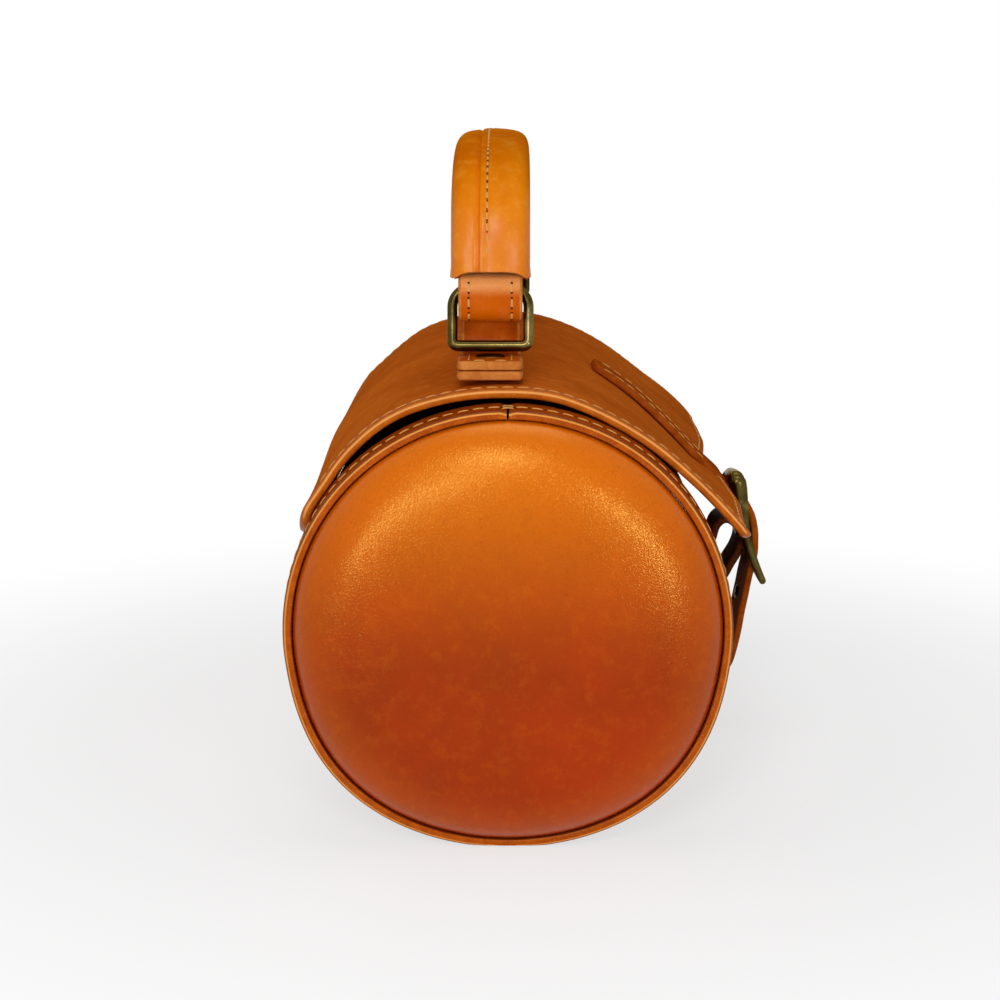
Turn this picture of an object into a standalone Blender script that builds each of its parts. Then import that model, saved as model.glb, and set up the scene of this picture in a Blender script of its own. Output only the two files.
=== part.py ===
# Barrel satchel in vegetable tanned leather with a saddle lid, a rolled handle and a front strap.
# The barrel lies along Y, its near end at -Y. The front, with the strap, is at +X.
# Pieces are built round the barrel's middle and are then moved over the origin, which lies on the
# ground in the middle of the whole bag. Metres, +Z up.
import bpy
import bmesh
from math import sin, cos, radians, degrees, pi, sqrt, atan2, hypot
from mathutils import Vector, Matrix

# Barrel
BARREL_RADIUS = 0.0700          # outside of the end bindings
BARREL_LENGTH = 0.2520          # over the end bindings
REST_DIP = 0.0016               # the bottom is pressed flat by the bag's own weight
AXIS_HEIGHT = BARREL_RADIUS - REST_DIP
SHELL_INSET = 0.0021            # the bindings stand this far proud of the wall
SHELL_RADIUS = BARREL_RADIUS - SHELL_INSET
SHELL_WALL = 0.0026
LINING_WALL = 0.0012
MOUTH_FRONT_DEG = 30
MOUTH_BACK_DEG = 150
SEAT_GAP = 0.0003               # what touches lies this far apart
OVERRUN = 0.0040                # how far a cutter runs past what it cuts

# Ends
BINDING_WIDTH = 0.0080
BINDING_DEPTH = 0.0038
BINDING_ROUND = 0.0016
DOME_RISE = 0.0120
DOME_WALL = 0.0024
DOME_SET_BACK = 0.0014
DOME_FLANGE = 0.0060
DOME_RIM_POWER = 3.0
DOME_TOP_POWER = 2.2

# Lid
LID_SET_BACK = 0.0060           # the lid ends this far short of the rims
LID_LENGTH = BARREL_LENGTH - 2 * LID_SET_BACK
LID_LAYER = 0.0018
LID_LINING_LAYER = 0.0012
LID_LAYER_GAP = 0.0005          # wider than the seat gap, because both layers bend two ways
LID_FRONT_DEG = 21
LID_BACK_DEG = 157
LID_HINGE_DEG = 148
LID_FRONT_CORNER = 0.0075
LID_BACK_CORNER = 0.0080
LID_MIDDLE_SAG = 0.0042         # the strap pulls the middle of the front edge in

# Angle in degrees, and the share of the sag there
SAG_SHARES = [
    (19, 0.40), (21, 0.50), (25, 0.79), (30, 0.85), (40, 0.70), (85, 0), (146, 0), (150, 0.25),
    (153, 0.62), (157, 0.50),
]

# Angle in degrees above the front, and the lid's outer radius there as a share of the barrel's
LID_SHARES = [
    (16, 1.190), (18, 1.180), (21, 1.161), (25, 1.138), (30, 1.111), (36, 1.086), (42, 1.069),
    (48, 1.061), (55, 1.058), (62, 1.059), (70, 1.065), (77, 1.073), (83, 1.081), (90, 1.089),
    (100, 1.099), (108, 1.107), (115, 1.114), (122, 1.119), (130, 1.117), (140, 1.108),
    (146, 1.096), (150, 1.077), (153, 1.062), (157, 1.0545),
]

# Handle
HANDLE_OFFSET = -0.0056         # the handle stands a little behind the crown of the lid
HANDLE_SEAT_DEG = 94
STRAP_LEATHER = 0.0028
FOOT_WIDTH = 0.0204
FOOT_LENGTH = 0.0186
FOOT_SET_BACK = 0.0074          # from the lid's end to the foot's end
FOOT_FRONT = LID_LENGTH / 2 - FOOT_SET_BACK
RIVET_RADIUS = 0.0048
RIVET_HEAD = 0.0009
RIVET_SHANK = 0.0015
RIVET_HOLE = 0.0019
RIVET_FROM_ROOT = 0.0058
HEAD_FLAT_SHARE = 0.7          # flat middle of rivet and stud heads
CORE_WIDTH = 0.0186
SLEEVE_HALF_WIDTH = 0.0124
SLEEVE_HALF_DEPTH = 0.0102
SLEEVE_WALL = 0.0015
LEG_FROM_FOOT_END = 0.0216      # from the foot's end to the middle line of the sleeve's leg
SLEEVE_LEG = FOOT_FRONT - LEG_FROM_FOOT_END
SLEEVE_MOUTH_RISE = 0.0309      # from the lid under the feet up to the sleeve's cut ends
SLEEVE_RISE = 0.0344            # from the cut ends up to the middle line at the top
SLEEVE_BEND_POWER = 3.4
SLEEVE_SECTION_POWER = 5.0
CORE_FROM_MIDDLE = 0.0042
PADDING_FROM_MOUTH = 0.0050

# D-rings and their tabs
RING_WIRE = 0.0016
RING_INNER_WIDTH = 0.0206
RING_CORNER = 0.0060
RING_FOOT_CORNER = 0.0019
RING_HEIGHT = 0.0182
RING_LEAN_DEG = 12
TAB_WIDTH = 0.0200
TAB_LEATHER = 0.0022
TAB_CAVITY = 0.0070
TAB_DROP = 0.0042               # straight stretch of the tab's loop
TAB_HIGH_IN_MOUTH = 0.0012

# Front strap, slide, chape and catch
STRAP_WIDTH = 0.0240
STRAP_LAYER = 0.0024
STRAP_START_DEG = 66
STRAP_START_ROUND = 0.0060
STRAP_HINGE_DEG = 21
BAR_RADIUS = 0.0016
HEAD_RADIUS = 0.0030
TIP_RADIUS = 0.0013
SLIDE_SIDE = 0.0030
SLIDE_BAR_INSET = 0.0001        # the bars lie this far inside the round ends of the sides
SLIDE_SIDE_GAP = 0.0006
SLIDE_TAPER_SHARE = 0.42        # the head narrows to nothing over this share of a side
SLIDE_TIP_SHARE = 0.8           # the tip's thickness starts here
CHAPE_SIDE_ROOM = 0.0020
CHAPE_WIDTH = STRAP_WIDTH - 2 * CHAPE_SIDE_ROOM
CHAPE_LAYER = 0.0018
CATCH_RADIUS = 0.0070
CATCH_PLATE = 0.0010
CATCH_MAGNET = 0.0016
CATCH_DEG = -5
STUD_RADIUS = 0.0026
STUD_SHANK = 0.0012
STUD_CAP = 0.0008

# Places in the front closure: across and up from the barrel's axis, as shares of its radius
STRAP_END_SHARES = [
    (1.113, 0.394), (1.134, 0.363), (1.166, 0.340), (1.200, 0.320), (1.229, 0.294), (1.259, 0.244),
    (1.281, 0.191), (1.294, 0.124), (1.297, 0.064), (1.294, -0.010), (1.266, -0.144),
    (1.253, -0.220), (1.236, -0.310), (1.217, -0.430), (1.190, -0.553), (1.171, -0.643),
]
HEAD_SHARES = (1.173, 0.398)
BAR_SHARES = (1.200, 0.114)
TIP_SHARES = (1.320, -0.140)
SLIDE_BOW_SHARES = [(1.194, 0.294), (1.213, 0.216), (1.222, 0.136), (1.231, 0.083), (1.259, -0.001),
                    (1.291, -0.076)]
UPPER_LEG_SHARES = [(1.061, 0.071), (1.070, 0.106), (1.080, 0.137), (1.099, 0.161), (1.123, 0.174),
                    (1.151, 0.171)]
LOWER_LEG_SHARES = [(1.210, 0.043), (1.191, -0.010), (1.159, -0.064), (1.126, -0.127),
                    (1.084, -0.180)]
CHAPE_FOOT_DEGS = (-17, -11, -5, 0, 3)
CHAPE_TAIL_DEGS = (-12, -17)
STUD_HEIGHT_SHARE = -0.245

CURVE_STEP_DEG = 6


def start_scene():
    for old in list(bpy.data.objects):
        bpy.data.objects.remove(old, do_unlink=True)
    parts = bpy.data.collections.new("barrel_satchel")
    cutters = bpy.data.collections.new("cutters")
    for group in (parts, cutters):
        bpy.context.scene.collection.children.link(group)
    return parts, cutters


PARTS, CUTTERS = start_scene()


def material(name, colour, roughness, metallic=0.0):
    made = bpy.data.materials.new(name)
    made.use_nodes = True
    shader = made.node_tree.nodes["Principled BSDF"]
    shader.inputs["Base Color"].default_value = (*colour, 1)
    shader.inputs["Roughness"].default_value = roughness
    shader.inputs["Metallic"].default_value = metallic
    return made


TAN = (0.54, 0.17, 0.025)
LIGHT_TAN = (0.62, 0.27, 0.08)
DARK_TAN = (0.35, 0.10, 0.02)
BRASS = (0.33, 0.26, 0.11)
STEEL = (0.55, 0.55, 0.53)
CLOTH = (0.42, 0.30, 0.18)
FILLING = (0.80, 0.76, 0.66)


def leather(name, colour=TAN):
    return material(name + "_leather", colour, 0.45)


def brass(name):
    return material(name + "_brass", BRASS, 0.32, 1.0)


def finish(obj, shading):
    """Give an object its material and put it in the parts collection."""
    obj.data.materials.clear()
    obj.data.materials.append(shading)
    for owner in list(obj.users_collection):
        owner.objects.unlink(obj)
    PARTS.objects.link(obj)
    return obj


def mesh_object(name, mesh):
    obj = bpy.data.objects.new(name, mesh)
    bpy.context.scene.collection.objects.link(obj)
    return obj


def smooth(obj, angle_deg=40):
    obj.data.shade_smooth()
    obj.data.set_sharp_from_angle(angle=radians(angle_deg))


def weld(mesh):
    """Join points that lie together."""
    joined = bmesh.new()
    joined.from_mesh(mesh)
    bmesh.ops.remove_doubles(joined, verts=joined.verts, dist=SEAT_GAP / 30)
    joined.to_mesh(mesh)
    joined.free()
    return mesh


def to_mesh(curve_object, name):
    """Turn a curve into a welded mesh object with the curve's place, and drop the curve."""
    bpy.context.view_layer.update()
    graph = bpy.context.evaluated_depsgraph_get()
    mesh = bpy.data.meshes.new_from_object(curve_object.evaluated_get(graph))
    obj = mesh_object(name, weld(mesh))
    obj.matrix_world = curve_object.matrix_world
    bpy.data.objects.remove(curve_object, do_unlink=True)
    return obj


def plate(name, outlines, width, middle=0, turn=None):
    """Extrude closed outlines, given as (x, z) points, by width along Y round middle."""
    curve = bpy.data.curves.new(name, "CURVE")
    curve.dimensions = "2D"
    curve.fill_mode = "BOTH"
    curve.extrude = width / 2
    for outline in outlines:
        spline = curve.splines.new("POLY")
        spline.points.add(len(outline) - 1)
        for point, (x, z) in zip(spline.points, outline):
            point.co = (x, z, 0, 1)
        spline.use_cyclic_u = True
    flat = mesh_object(name + "_outline", curve)
    flat.matrix_world = (turn or Matrix.Translation((0, middle, 0)) @ Matrix.Rotation(pi / 2, 4, "X"))
    return to_mesh(flat, name)


def side_plate(name, outlines, width, middle):
    """Extrude closed outlines, given as (y, z) points, by width along X round middle."""
    upright = Matrix.Rotation(pi / 2, 4, "Z") @ Matrix.Rotation(pi / 2, 4, "X")
    return plate(name, outlines, width, turn=Matrix.Translation((middle, 0, 0)) @ upright)


def arc(radius, start_deg, end_deg, centre=(0, 0), step_deg=CURVE_STEP_DEG):
    steps = max(2, round(abs(end_deg - start_deg) / step_deg))
    turns = [radians(start_deg + (end_deg - start_deg) * i / steps) for i in range(steps + 1)]
    return [(centre[0] + radius * cos(t), centre[1] + radius * sin(t)) for t in turns]


def at_axis(points):
    """Move (x, z) points that are measured from the barrel's axis to their place above the ground."""
    return [(x, z + AXIS_HEIGHT) for x, z in points]


def shares_to_points(shares):
    return [(x * BARREL_RADIUS, z * BARREL_RADIUS) for x, z in shares]


def normals(path):
    """Unit normals of an open path, to its left."""
    found = []
    for i in range(len(path)):
        a = path[max(i - 1, 0)]
        b = path[min(i + 1, len(path) - 1)]
        dx, dz = b[0] - a[0], b[1] - a[1]
        length = hypot(dx, dz)
        found.append((-dz / length, dx / length))
    return found


def offset(path, distance):
    return [(p[0] + n[0] * distance, p[1] + n[1] * distance) for p, n in zip(path, normals(path))]


def ribbon(path, left, right):
    """Outline of a band from left to right of an open path."""
    return offset(path, left) + offset(path, -right)[::-1]


def smooth_path(points, per_span=4):
    """Points along a smooth curve through the given ones."""
    padded = [points[0]] + list(points) + [points[-1]]
    found = []
    for i in range(1, len(padded) - 2):
        a, b, c, d = padded[i - 1:i + 3]
        for k in range(per_span):
            t = k / per_span
            found.append(tuple(
                0.5 * (2 * b[j] + (c[j] - a[j]) * t + (2 * a[j] - 5 * b[j] + 4 * c[j] - d[j]) * t ** 2
                       + (3 * b[j] - a[j] - 3 * c[j] + d[j]) * t ** 3) for j in (0, 1)))
    return found + [points[-1]]


def cut(obj, cutter, operation="DIFFERENCE"):
    """Boolean an object with a cutter or another body and keep the result as its mesh."""
    change = obj.modifiers.new(operation.lower(), "BOOLEAN")
    change.operation = operation
    change.solver = "EXACT"
    change.object = cutter
    bpy.context.view_layer.update()
    graph = bpy.context.evaluated_depsgraph_get()
    mesh = bpy.data.meshes.new_from_object(obj.evaluated_get(graph))
    obj.modifiers.remove(change)
    obj.data = weld(mesh)


def as_cutter(obj):
    for owner in list(obj.users_collection):
        owner.objects.unlink(obj)
    CUTTERS.objects.link(obj)
    obj.hide_render = True
    obj.display_type = "WIRE"
    return obj


def cylinder(name, radius, depth, location=(0, 0, 0), sides=32, rotation=(0, 0, 0)):
    bpy.ops.mesh.primitive_cylinder_add(radius=radius, depth=depth, vertices=sides,
                                        location=location, rotation=rotation)
    made = bpy.context.object
    made.name = name
    return made


# Barrel

def open_ring(outer, wall):
    """Section of the barrel's wall, open at the mouth and flat where it stands."""
    points = arc(outer, MOUTH_BACK_DEG, 360 + MOUTH_FRONT_DEG)
    points = [(x, max(z, -AXIS_HEIGHT)) for x, z in points]
    return points + arc(outer - wall, 360 + MOUTH_FRONT_DEG, MOUTH_BACK_DEG)


def make_barrel():
    shell_length = BARREL_LENGTH - 2 * BINDING_WIDTH - 2 * SEAT_GAP
    shell = plate("barrel_shell", [at_axis(open_ring(SHELL_RADIUS, SHELL_WALL))], shell_length)
    smooth(finish(shell, leather("shell")))
    lining_radius = SHELL_RADIUS - SHELL_WALL - SEAT_GAP
    lining = plate("barrel_lining", [at_axis(open_ring(lining_radius, LINING_WALL))], shell_length)
    smooth(finish(lining, material("lining_cloth", CLOTH, 0.9)))


def make_binding(name, side):
    """The rim strip of one end, turned and then cut flat where the bag stands."""
    inner = BARREL_RADIUS - BINDING_DEPTH
    rounded = [(inner, -BINDING_ROUND)]
    rounded += arc(BINDING_ROUND, 180, 90, (inner + BINDING_ROUND, -BINDING_ROUND), 30)[1:]
    rounded += arc(BINDING_ROUND, 90, 0, (BARREL_RADIUS - BINDING_ROUND, -BINDING_ROUND), 30)
    rounded += [(BARREL_RADIUS, -BINDING_WIDTH), (inner, -BINDING_WIDTH)]
    ring = turned(name, rounded, closed=True, steps=48)
    ring.matrix_world = end_place(side, 0)
    flatten_below_ground(ring)
    smooth(finish(ring, leather(name, LIGHT_TAN)))


def end_place(side, set_back):
    """Place for a piece turned about Z, whose top faces out of one end of the barrel."""
    y = side * (BARREL_LENGTH / 2 - set_back)
    return Matrix.Translation((0, y, AXIS_HEIGHT)) @ Matrix.Rotation(-side * pi / 2, 4, "X")


def turned(name, profile, closed=False, steps=64):
    """Turn a profile of (radius, height) points about Z with a Screw modifier."""
    mesh = bpy.data.meshes.new(name)
    count = len(profile)
    edges = [(i, i + 1) for i in range(count - 1)]
    if closed:
        edges.append((count - 1, 0))
    mesh.from_pydata([(r, 0, z) for r, z in profile], edges, [])
    obj = mesh_object(name, mesh)
    screw = obj.modifiers.new("turn", "SCREW")
    screw.axis = "Z"
    screw.angle = 2 * pi
    screw.steps = steps
    screw.render_steps = steps
    screw.use_merge_vertices = True
    screw.merge_threshold = SEAT_GAP / 30
    screw.use_normal_calculate = False
    bpy.context.view_layer.update()
    graph = bpy.context.evaluated_depsgraph_get()
    solid = bpy.data.meshes.new_from_object(obj.evaluated_get(graph))
    tidy = bmesh.new()
    tidy.from_mesh(solid)
    bmesh.ops.remove_doubles(tidy, verts=tidy.verts, dist=SEAT_GAP / 30)
    bmesh.ops.recalc_face_normals(tidy, faces=tidy.faces)
    tidy.to_mesh(solid)
    tidy.free()
    obj.modifiers.remove(screw)
    obj.data = solid
    return obj


def flatten_below_ground(obj):
    """Cut away what lies below the ground."""
    size = 2 * (BARREL_RADIUS + OVERRUN)
    bpy.ops.mesh.primitive_cube_add(size=size, location=(0, 0, -size / 2))
    block = as_cutter(bpy.context.object)
    block.name = obj.name + "_ground_cutter"
    block.scale = (1, (BARREL_LENGTH + 2 * OVERRUN) / size, 1)
    cut(obj, block)


def make_end_panel(name, side):
    """Domed end with a flange that is glued inside the binding."""
    radius = BARREL_RADIUS - BINDING_DEPTH - SEAT_GAP

    def dome(rise, edge, count):
        points = []
        for i in range(count + 1):
            share = sin(pi / 2 * i / count)
            height = rise * max(1 - share ** DOME_RIM_POWER, 0) ** (1 / DOME_TOP_POWER)
            points.append((edge * share, height))
        return points

    outer = dome(DOME_RISE, radius, 8) + [(radius, -DOME_FLANGE)]
    inner = [(r, z - DOME_WALL) for r, z in dome(DOME_RISE, radius - DOME_WALL, 5)][::-1]
    inner = [(radius - DOME_WALL, -DOME_FLANGE)] + inner
    panel = turned(name, outer + inner, steps=44)
    panel.matrix_world = end_place(side, DOME_SET_BACK)
    smooth(finish(panel, leather(name)))


# Lid

def between_rows(rows, place):
    """Value at a place in rows of (place, value)."""
    for (a, low), (b, high) in zip(rows, rows[1:]):
        if place <= b:
            return low + (high - low) * max(place - a, 0) / (b - a)
    return rows[-1][1]


def lid_radius(deg, across_share=1.0):
    """Outer radius of the lid at an angle, and at a share of the way from the middle to an end."""
    sag = LID_MIDDLE_SAG * between_rows(SAG_SHARES, deg) * (1 - abs(across_share) ** 3)
    return BARREL_RADIUS * between_rows(LID_SHARES, deg) - sag


def polar(radius, deg):
    return (radius * cos(radians(deg)), radius * sin(radians(deg)))


def lid_point(deg, y, depth):
    """Point that lies depth under the lid's outer surface."""
    radius = lid_radius(deg, 2 * y / LID_LENGTH) - depth
    x, z = polar(radius, deg)
    return (x, y, z + AXIS_HEIGHT)


def lid_half_length(deg):
    """Half length of the lid at an angle: its corners are rounded."""
    half = LID_LENGTH / 2
    per_deg = radians(1) * BARREL_RADIUS * LID_SHARES[0][1]
    for edge_deg, corner in ((LID_FRONT_DEG, LID_FRONT_CORNER), (LID_BACK_DEG, LID_BACK_CORNER)):
        away = abs(deg - edge_deg) * per_deg
        if away < corner:
            return half - corner + sqrt(max(corner ** 2 - (corner - away) ** 2, 0))
    return half


def bent_sheet(name, start_deg, end_deg, half_length, top_depth, bottom_depth, rows, columns=8):
    """A sheet that follows the lid's surface, between two depths under it.

    A grid is bent over the barrel and given its thickness.
    """
    grid = bmesh.new()
    bmesh.ops.create_grid(grid, x_segments=columns, y_segments=rows, size=1)
    lower = {}
    top = {}
    for vert in list(grid.verts):
        across, along = vert.co.x, (vert.co.y + 1) / 2
        deg = start_deg + (end_deg - start_deg) * along
        y = across * half_length(deg)
        vert.co = lid_point(deg, y, top_depth)
        top[vert] = (deg, y)
    faces = list(grid.faces)
    for vert, (deg, y) in top.items():
        lower[vert] = grid.verts.new(lid_point(deg, y, bottom_depth))
    for face in faces:
        grid.faces.new([lower[v] for v in reversed(face.verts)])
    for edge in [e for e in grid.edges if len(e.link_faces) == 1 and e.verts[0] in top]:
        a, b = edge.verts
        grid.faces.new([a, b, lower[b], lower[a]])
    bmesh.ops.recalc_face_normals(grid, faces=grid.faces)
    bmesh.ops.triangulate(grid, faces=grid.faces)
    mesh = bpy.data.meshes.new(name)
    grid.to_mesh(mesh)
    grid.free()
    return mesh_object(name, mesh)


def lid_thickness():
    return LID_LAYER + LID_LAYER_GAP + LID_LINING_LAYER


def make_lid():
    hinge_gap_deg = degrees(SEAT_GAP / BARREL_RADIUS)
    inner_top = LID_LAYER + LID_LAYER_GAP
    inner_bottom = lid_thickness()
    lid = bent_sheet("lid", LID_FRONT_DEG, LID_HINGE_DEG, lid_half_length, 0, LID_LAYER, 32)
    lining = bent_sheet("lid_lining", LID_FRONT_DEG, LID_HINGE_DEG, lid_half_length,
                        inner_top, inner_bottom, 32)
    band = bent_sheet("lid_back_band", LID_HINGE_DEG + hinge_gap_deg, LID_BACK_DEG, lid_half_length,
                      0, inner_bottom, 5)
    drill_rivet_holes((lid, lining))
    finish(lid, leather("lid"))
    finish(lining, leather("lid_lining", DARK_TAN))
    finish(band, leather("lid_back_band"))
    for obj in (lid, lining, band):
        smooth(obj)


def foot_seat_height():
    """Height of the lid's surface under the handle's feet."""
    radius = lid_radius(HANDLE_SEAT_DEG)
    return AXIS_HEIGHT + sqrt(radius ** 2 - HANDLE_OFFSET ** 2)


def rivet_places():
    y = FOOT_FRONT - FOOT_LENGTH + RIVET_FROM_ROOT
    return [(HANDLE_OFFSET, side * y) for side in (-1, 1)]


def drill_rivet_holes(objects):
    low = foot_seat_height() - lid_thickness() - OVERRUN
    high = foot_seat_height() + 2 * (STRAP_LEATHER + SEAT_GAP) + OVERRUN
    for x, y in rivet_places():
        drill = as_cutter(cylinder("rivet_hole_cutter", RIVET_HOLE, high - low,
                                   (x, y, (low + high) / 2), sides=16))
        for obj in objects:
            cut(obj, drill)


# Handle

def make_feet():
    """Two layers under each handle end, riveted to the lid."""
    base = foot_seat_height() + SEAT_GAP
    for side, place in ((-1, "near"), (1, "far")):
        y = side * (FOOT_FRONT - FOOT_LENGTH / 2)
        for layer, label in enumerate(("base", "foot")):
            low = base + layer * (STRAP_LEATHER + SEAT_GAP)
            name = "handle_" + label + "_" + place
            bpy.ops.mesh.primitive_cube_add(size=1, location=(HANDLE_OFFSET, y, low + STRAP_LEATHER / 2))
            block = bpy.context.object
            block.name = name
            block.data.transform(Matrix.Diagonal((FOOT_WIDTH, FOOT_LENGTH, STRAP_LEATHER, 1)))
            drill_rivet_holes((block,))
            finish(block, leather(name, LIGHT_TAN))
    make_rivets(base + 2 * STRAP_LEATHER + SEAT_GAP)


def make_rivets(top):
    """Flat rivets: head on the foot, shank through the lid, and a cap inside it."""
    inside = foot_seat_height() - lid_thickness() - SEAT_GAP
    under_head = top + SEAT_GAP
    profile = [(0, under_head + RIVET_HEAD), (RIVET_RADIUS * HEAD_FLAT_SHARE, under_head + RIVET_HEAD),
               (RIVET_RADIUS, under_head), (RIVET_SHANK, under_head),
               (RIVET_SHANK, inside), (RIVET_RADIUS, inside),
               (RIVET_RADIUS, inside - RIVET_HEAD), (0, inside - RIVET_HEAD)]
    for (x, y), place in zip(rivet_places(), ("near", "far")):
        name = "handle_rivet_" + place
        rivet = turned(name, profile, steps=16)
        rivet.matrix_world = Matrix.Translation((x, y, 0))
        smooth(finish(rivet, brass(name)))


def mouth_height():
    """Height of the sleeve's cut ends."""
    return foot_seat_height() + SLEEVE_MOUTH_RISE


def handle_line():
    """Middle line of the rolled handle as (y, z) points, from the near mouth to the far one."""
    count = 40
    points = []
    for i in range(count + 1):
        t = pi - pi * i / count
        y = SLEEVE_LEG * abs(cos(t)) ** (2 / SLEEVE_BEND_POWER) * (-1 if t > pi / 2 else 1)
        z = mouth_height() + SLEEVE_RISE * sin(t) ** (2 / SLEEVE_BEND_POWER)
        points.append((y, z))
    return even(points, 30)


def even(points, count):
    """The same path with evenly spaced points."""
    lengths = [0]
    for a, b in zip(points, points[1:]):
        lengths.append(lengths[-1] + hypot(b[0] - a[0], b[1] - a[1]))
    found = []
    k = 0
    for i in range(count + 1):
        want = lengths[-1] * i / count
        while k < len(points) - 2 and lengths[k + 1] < want:
            k += 1
        span = lengths[k + 1] - lengths[k]
        t = (want - lengths[k]) / span if span else 0
        a, b = points[k], points[k + 1]
        found.append((a[0] + (b[0] - a[0]) * t, a[1] + (b[1] - a[1]) * t))
    return found


def section(half_width, half_depth, low=None, count=16):
    """Rounded section of the roll as (across, outward) points; low cuts its inner side off."""
    points = []
    for i in range(count):
        t = 2 * pi * (i + 0.5) / count
        c, s = cos(t), sin(t)
        power = 2 / SLEEVE_SECTION_POWER
        across = half_width * abs(c) ** power * (1 if c >= 0 else -1)
        outward = half_depth * abs(s) ** power * (1 if s >= 0 else -1)
        if low is not None:
            outward = max(outward, low)
        points.append((across, outward))
    return points


def loft(name, line, sections, hollow=None):
    """Loft sections along a (y, z) line; hollow gives the inner sections of a tube."""
    made = bmesh.new()
    outward = normals(line)

    def rings(all_sections):
        found = []
        for (y, z), (ny, nz), points in zip(line, outward, all_sections):
            found.append([made.verts.new((HANDLE_OFFSET + a, y + ny * o, z + nz * o)) for a, o in points])
        return found

    def skin(found):
        for one, two in zip(found, found[1:]):
            for i in range(len(one)):
                j = (i + 1) % len(one)
                made.faces.new((one[i], one[j], two[j], two[i]))

    outer = rings(sections)
    skin(outer)
    if hollow is None:
        made.faces.new(outer[0])
        made.faces.new(outer[-1])
    else:
        inner = rings(hollow)
        skin(inner)
        for end in (0, -1):
            a, b = outer[end], inner[end]
            for i in range(len(a)):
                j = (i + 1) % len(a)
                made.faces.new((a[i], a[j], b[j], b[i]))
    bmesh.ops.recalc_face_normals(made, faces=made.faces)
    mesh = bpy.data.meshes.new(name)
    made.to_mesh(mesh)
    made.free()
    return mesh_object(name, mesh)


def make_sleeve():
    line = handle_line()
    outer = section(SLEEVE_HALF_WIDTH, SLEEVE_HALF_DEPTH)
    inner = section(SLEEVE_HALF_WIDTH - SLEEVE_WALL, SLEEVE_HALF_DEPTH - SLEEVE_WALL)
    sleeve = loft("handle_sleeve", line, [outer] * len(line), [inner] * len(line))
    smooth(finish(sleeve, leather("sleeve")))
    padding_low = -CORE_FROM_MIDDLE + STRAP_LEATHER / 2 + SEAT_GAP
    filling = section(SLEEVE_HALF_WIDTH - SLEEVE_WALL - SEAT_GAP,
                      SLEEVE_HALF_DEPTH - SLEEVE_WALL - SEAT_GAP, padding_low)
    inside = [p for p in line if p[1] > mouth_height() + PADDING_FROM_MOUTH]
    padding = loft("handle_padding", inside, [filling] * len(inside))
    smooth(finish(padding, material("handle_filling", FILLING, 0.95)))


def core_line():
    """Middle line of the inner strap, from one foot through the roll to the other foot."""
    inner = offset(handle_line(), -CORE_FROM_MIDDLE)
    base = foot_seat_height() + SEAT_GAP + STRAP_LEATHER + SEAT_GAP + STRAP_LEATHER / 2
    root = FOOT_FRONT - FOOT_LENGTH - SEAT_GAP
    leg = -inner[0][0]
    bend = root - leg
    near = arc(bend, 270, 360, (-root, base + bend), 15)
    near = near + [(-leg, mouth_height() - PADDING_FROM_MOUTH)]
    far = [(-y, z) for y, z in near][::-1]
    return near + inner + far


def make_core():
    band = ribbon(core_line(), STRAP_LEATHER / 2, STRAP_LEATHER / 2)
    strap = side_plate("handle_strap", [band], CORE_WIDTH, HANDLE_OFFSET)
    smooth(finish(strap, leather("handle_strap", LIGHT_TAN)))


def tab_place():
    """Distance of the tab's cavity from the middle of the bag, and the height of its round top."""
    core_front = -offset(handle_line(), -CORE_FROM_MIDDLE)[0][0] + STRAP_LEATHER / 2
    outward = core_front + SEAT_GAP + TAB_LEATHER + TAB_CAVITY / 2
    top_centre = mouth_height() + TAB_HIGH_IN_MOUTH - TAB_LEATHER - TAB_CAVITY / 2
    return outward, top_centre


def stadium(radius, y, high, low):
    return arc(radius, 0, 180, (y, high), 20) + arc(radius, 180, 360, (y, low), 20)


def make_tab(name, side):
    outward, high = tab_place()
    low = high - TAB_DROP
    y = side * outward
    rings = [stadium(TAB_CAVITY / 2 + TAB_LEATHER, y, high, low), stadium(TAB_CAVITY / 2, y, high, low)]
    tab = side_plate(name, rings, TAB_WIDTH, HANDLE_OFFSET)
    smooth(finish(tab, leather(name, LIGHT_TAN)))


def ring_rest_height():
    """Height of the turning axis of a D-ring, which hangs in the round top of its tab."""
    return tab_place()[1]


def make_ring(name, side):
    """D-ring with its origin on the axis that it swings about, in the tab's cavity."""
    outward, high = tab_place()
    half = RING_INNER_WIDTH / 2 + RING_WIRE
    top = wire_top_above_axis()
    flat_half = half - RING_CORNER
    reach = half - RING_FOOT_CORNER
    low = top - RING_HEIGHT + RING_FOOT_CORNER
    low_left = arc(RING_FOOT_CORNER, 180, 270, (-reach, low), 30)
    low_right = arc(RING_FOOT_CORNER, 270, 360, (reach, low), 30)
    over = arc(RING_CORNER, 0, 90, (flat_half, top - RING_CORNER), 15)
    over += arc(RING_CORNER, 90, 180, (-flat_half, top - RING_CORNER), 15)
    wire = bpy.data.curves.new(name, "CURVE")
    wire.dimensions = "3D"
    wire.bevel_depth = RING_WIRE
    wire.bevel_resolution = 2
    spline = wire.splines.new("POLY")
    path = low_left + low_right + over
    spline.points.add(len(path) - 1)
    for point, (x, z) in zip(spline.points, path):
        point.co = (x, 0, z, 1)
    spline.use_cyclic_u = True
    ring = to_mesh(mesh_object(name + "_wire", wire), name)
    ring.matrix_world = (Matrix.Translation((HANDLE_OFFSET, side * outward, high))
                         @ Matrix.Rotation(side * radians(RING_LEAN_DEG), 4, "X"))
    smooth(finish(ring, brass(name)), 60)


def wire_top_above_axis():
    """The wire inside the tab lies half above and half below the ring's axis."""
    half = RING_INNER_WIDTH / 2 + RING_WIRE
    inside = TAB_WIDTH / 2 - (half - RING_CORNER)
    drop = RING_CORNER - sqrt(RING_CORNER ** 2 - inside ** 2)
    return drop / 2


# Front closure

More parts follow.
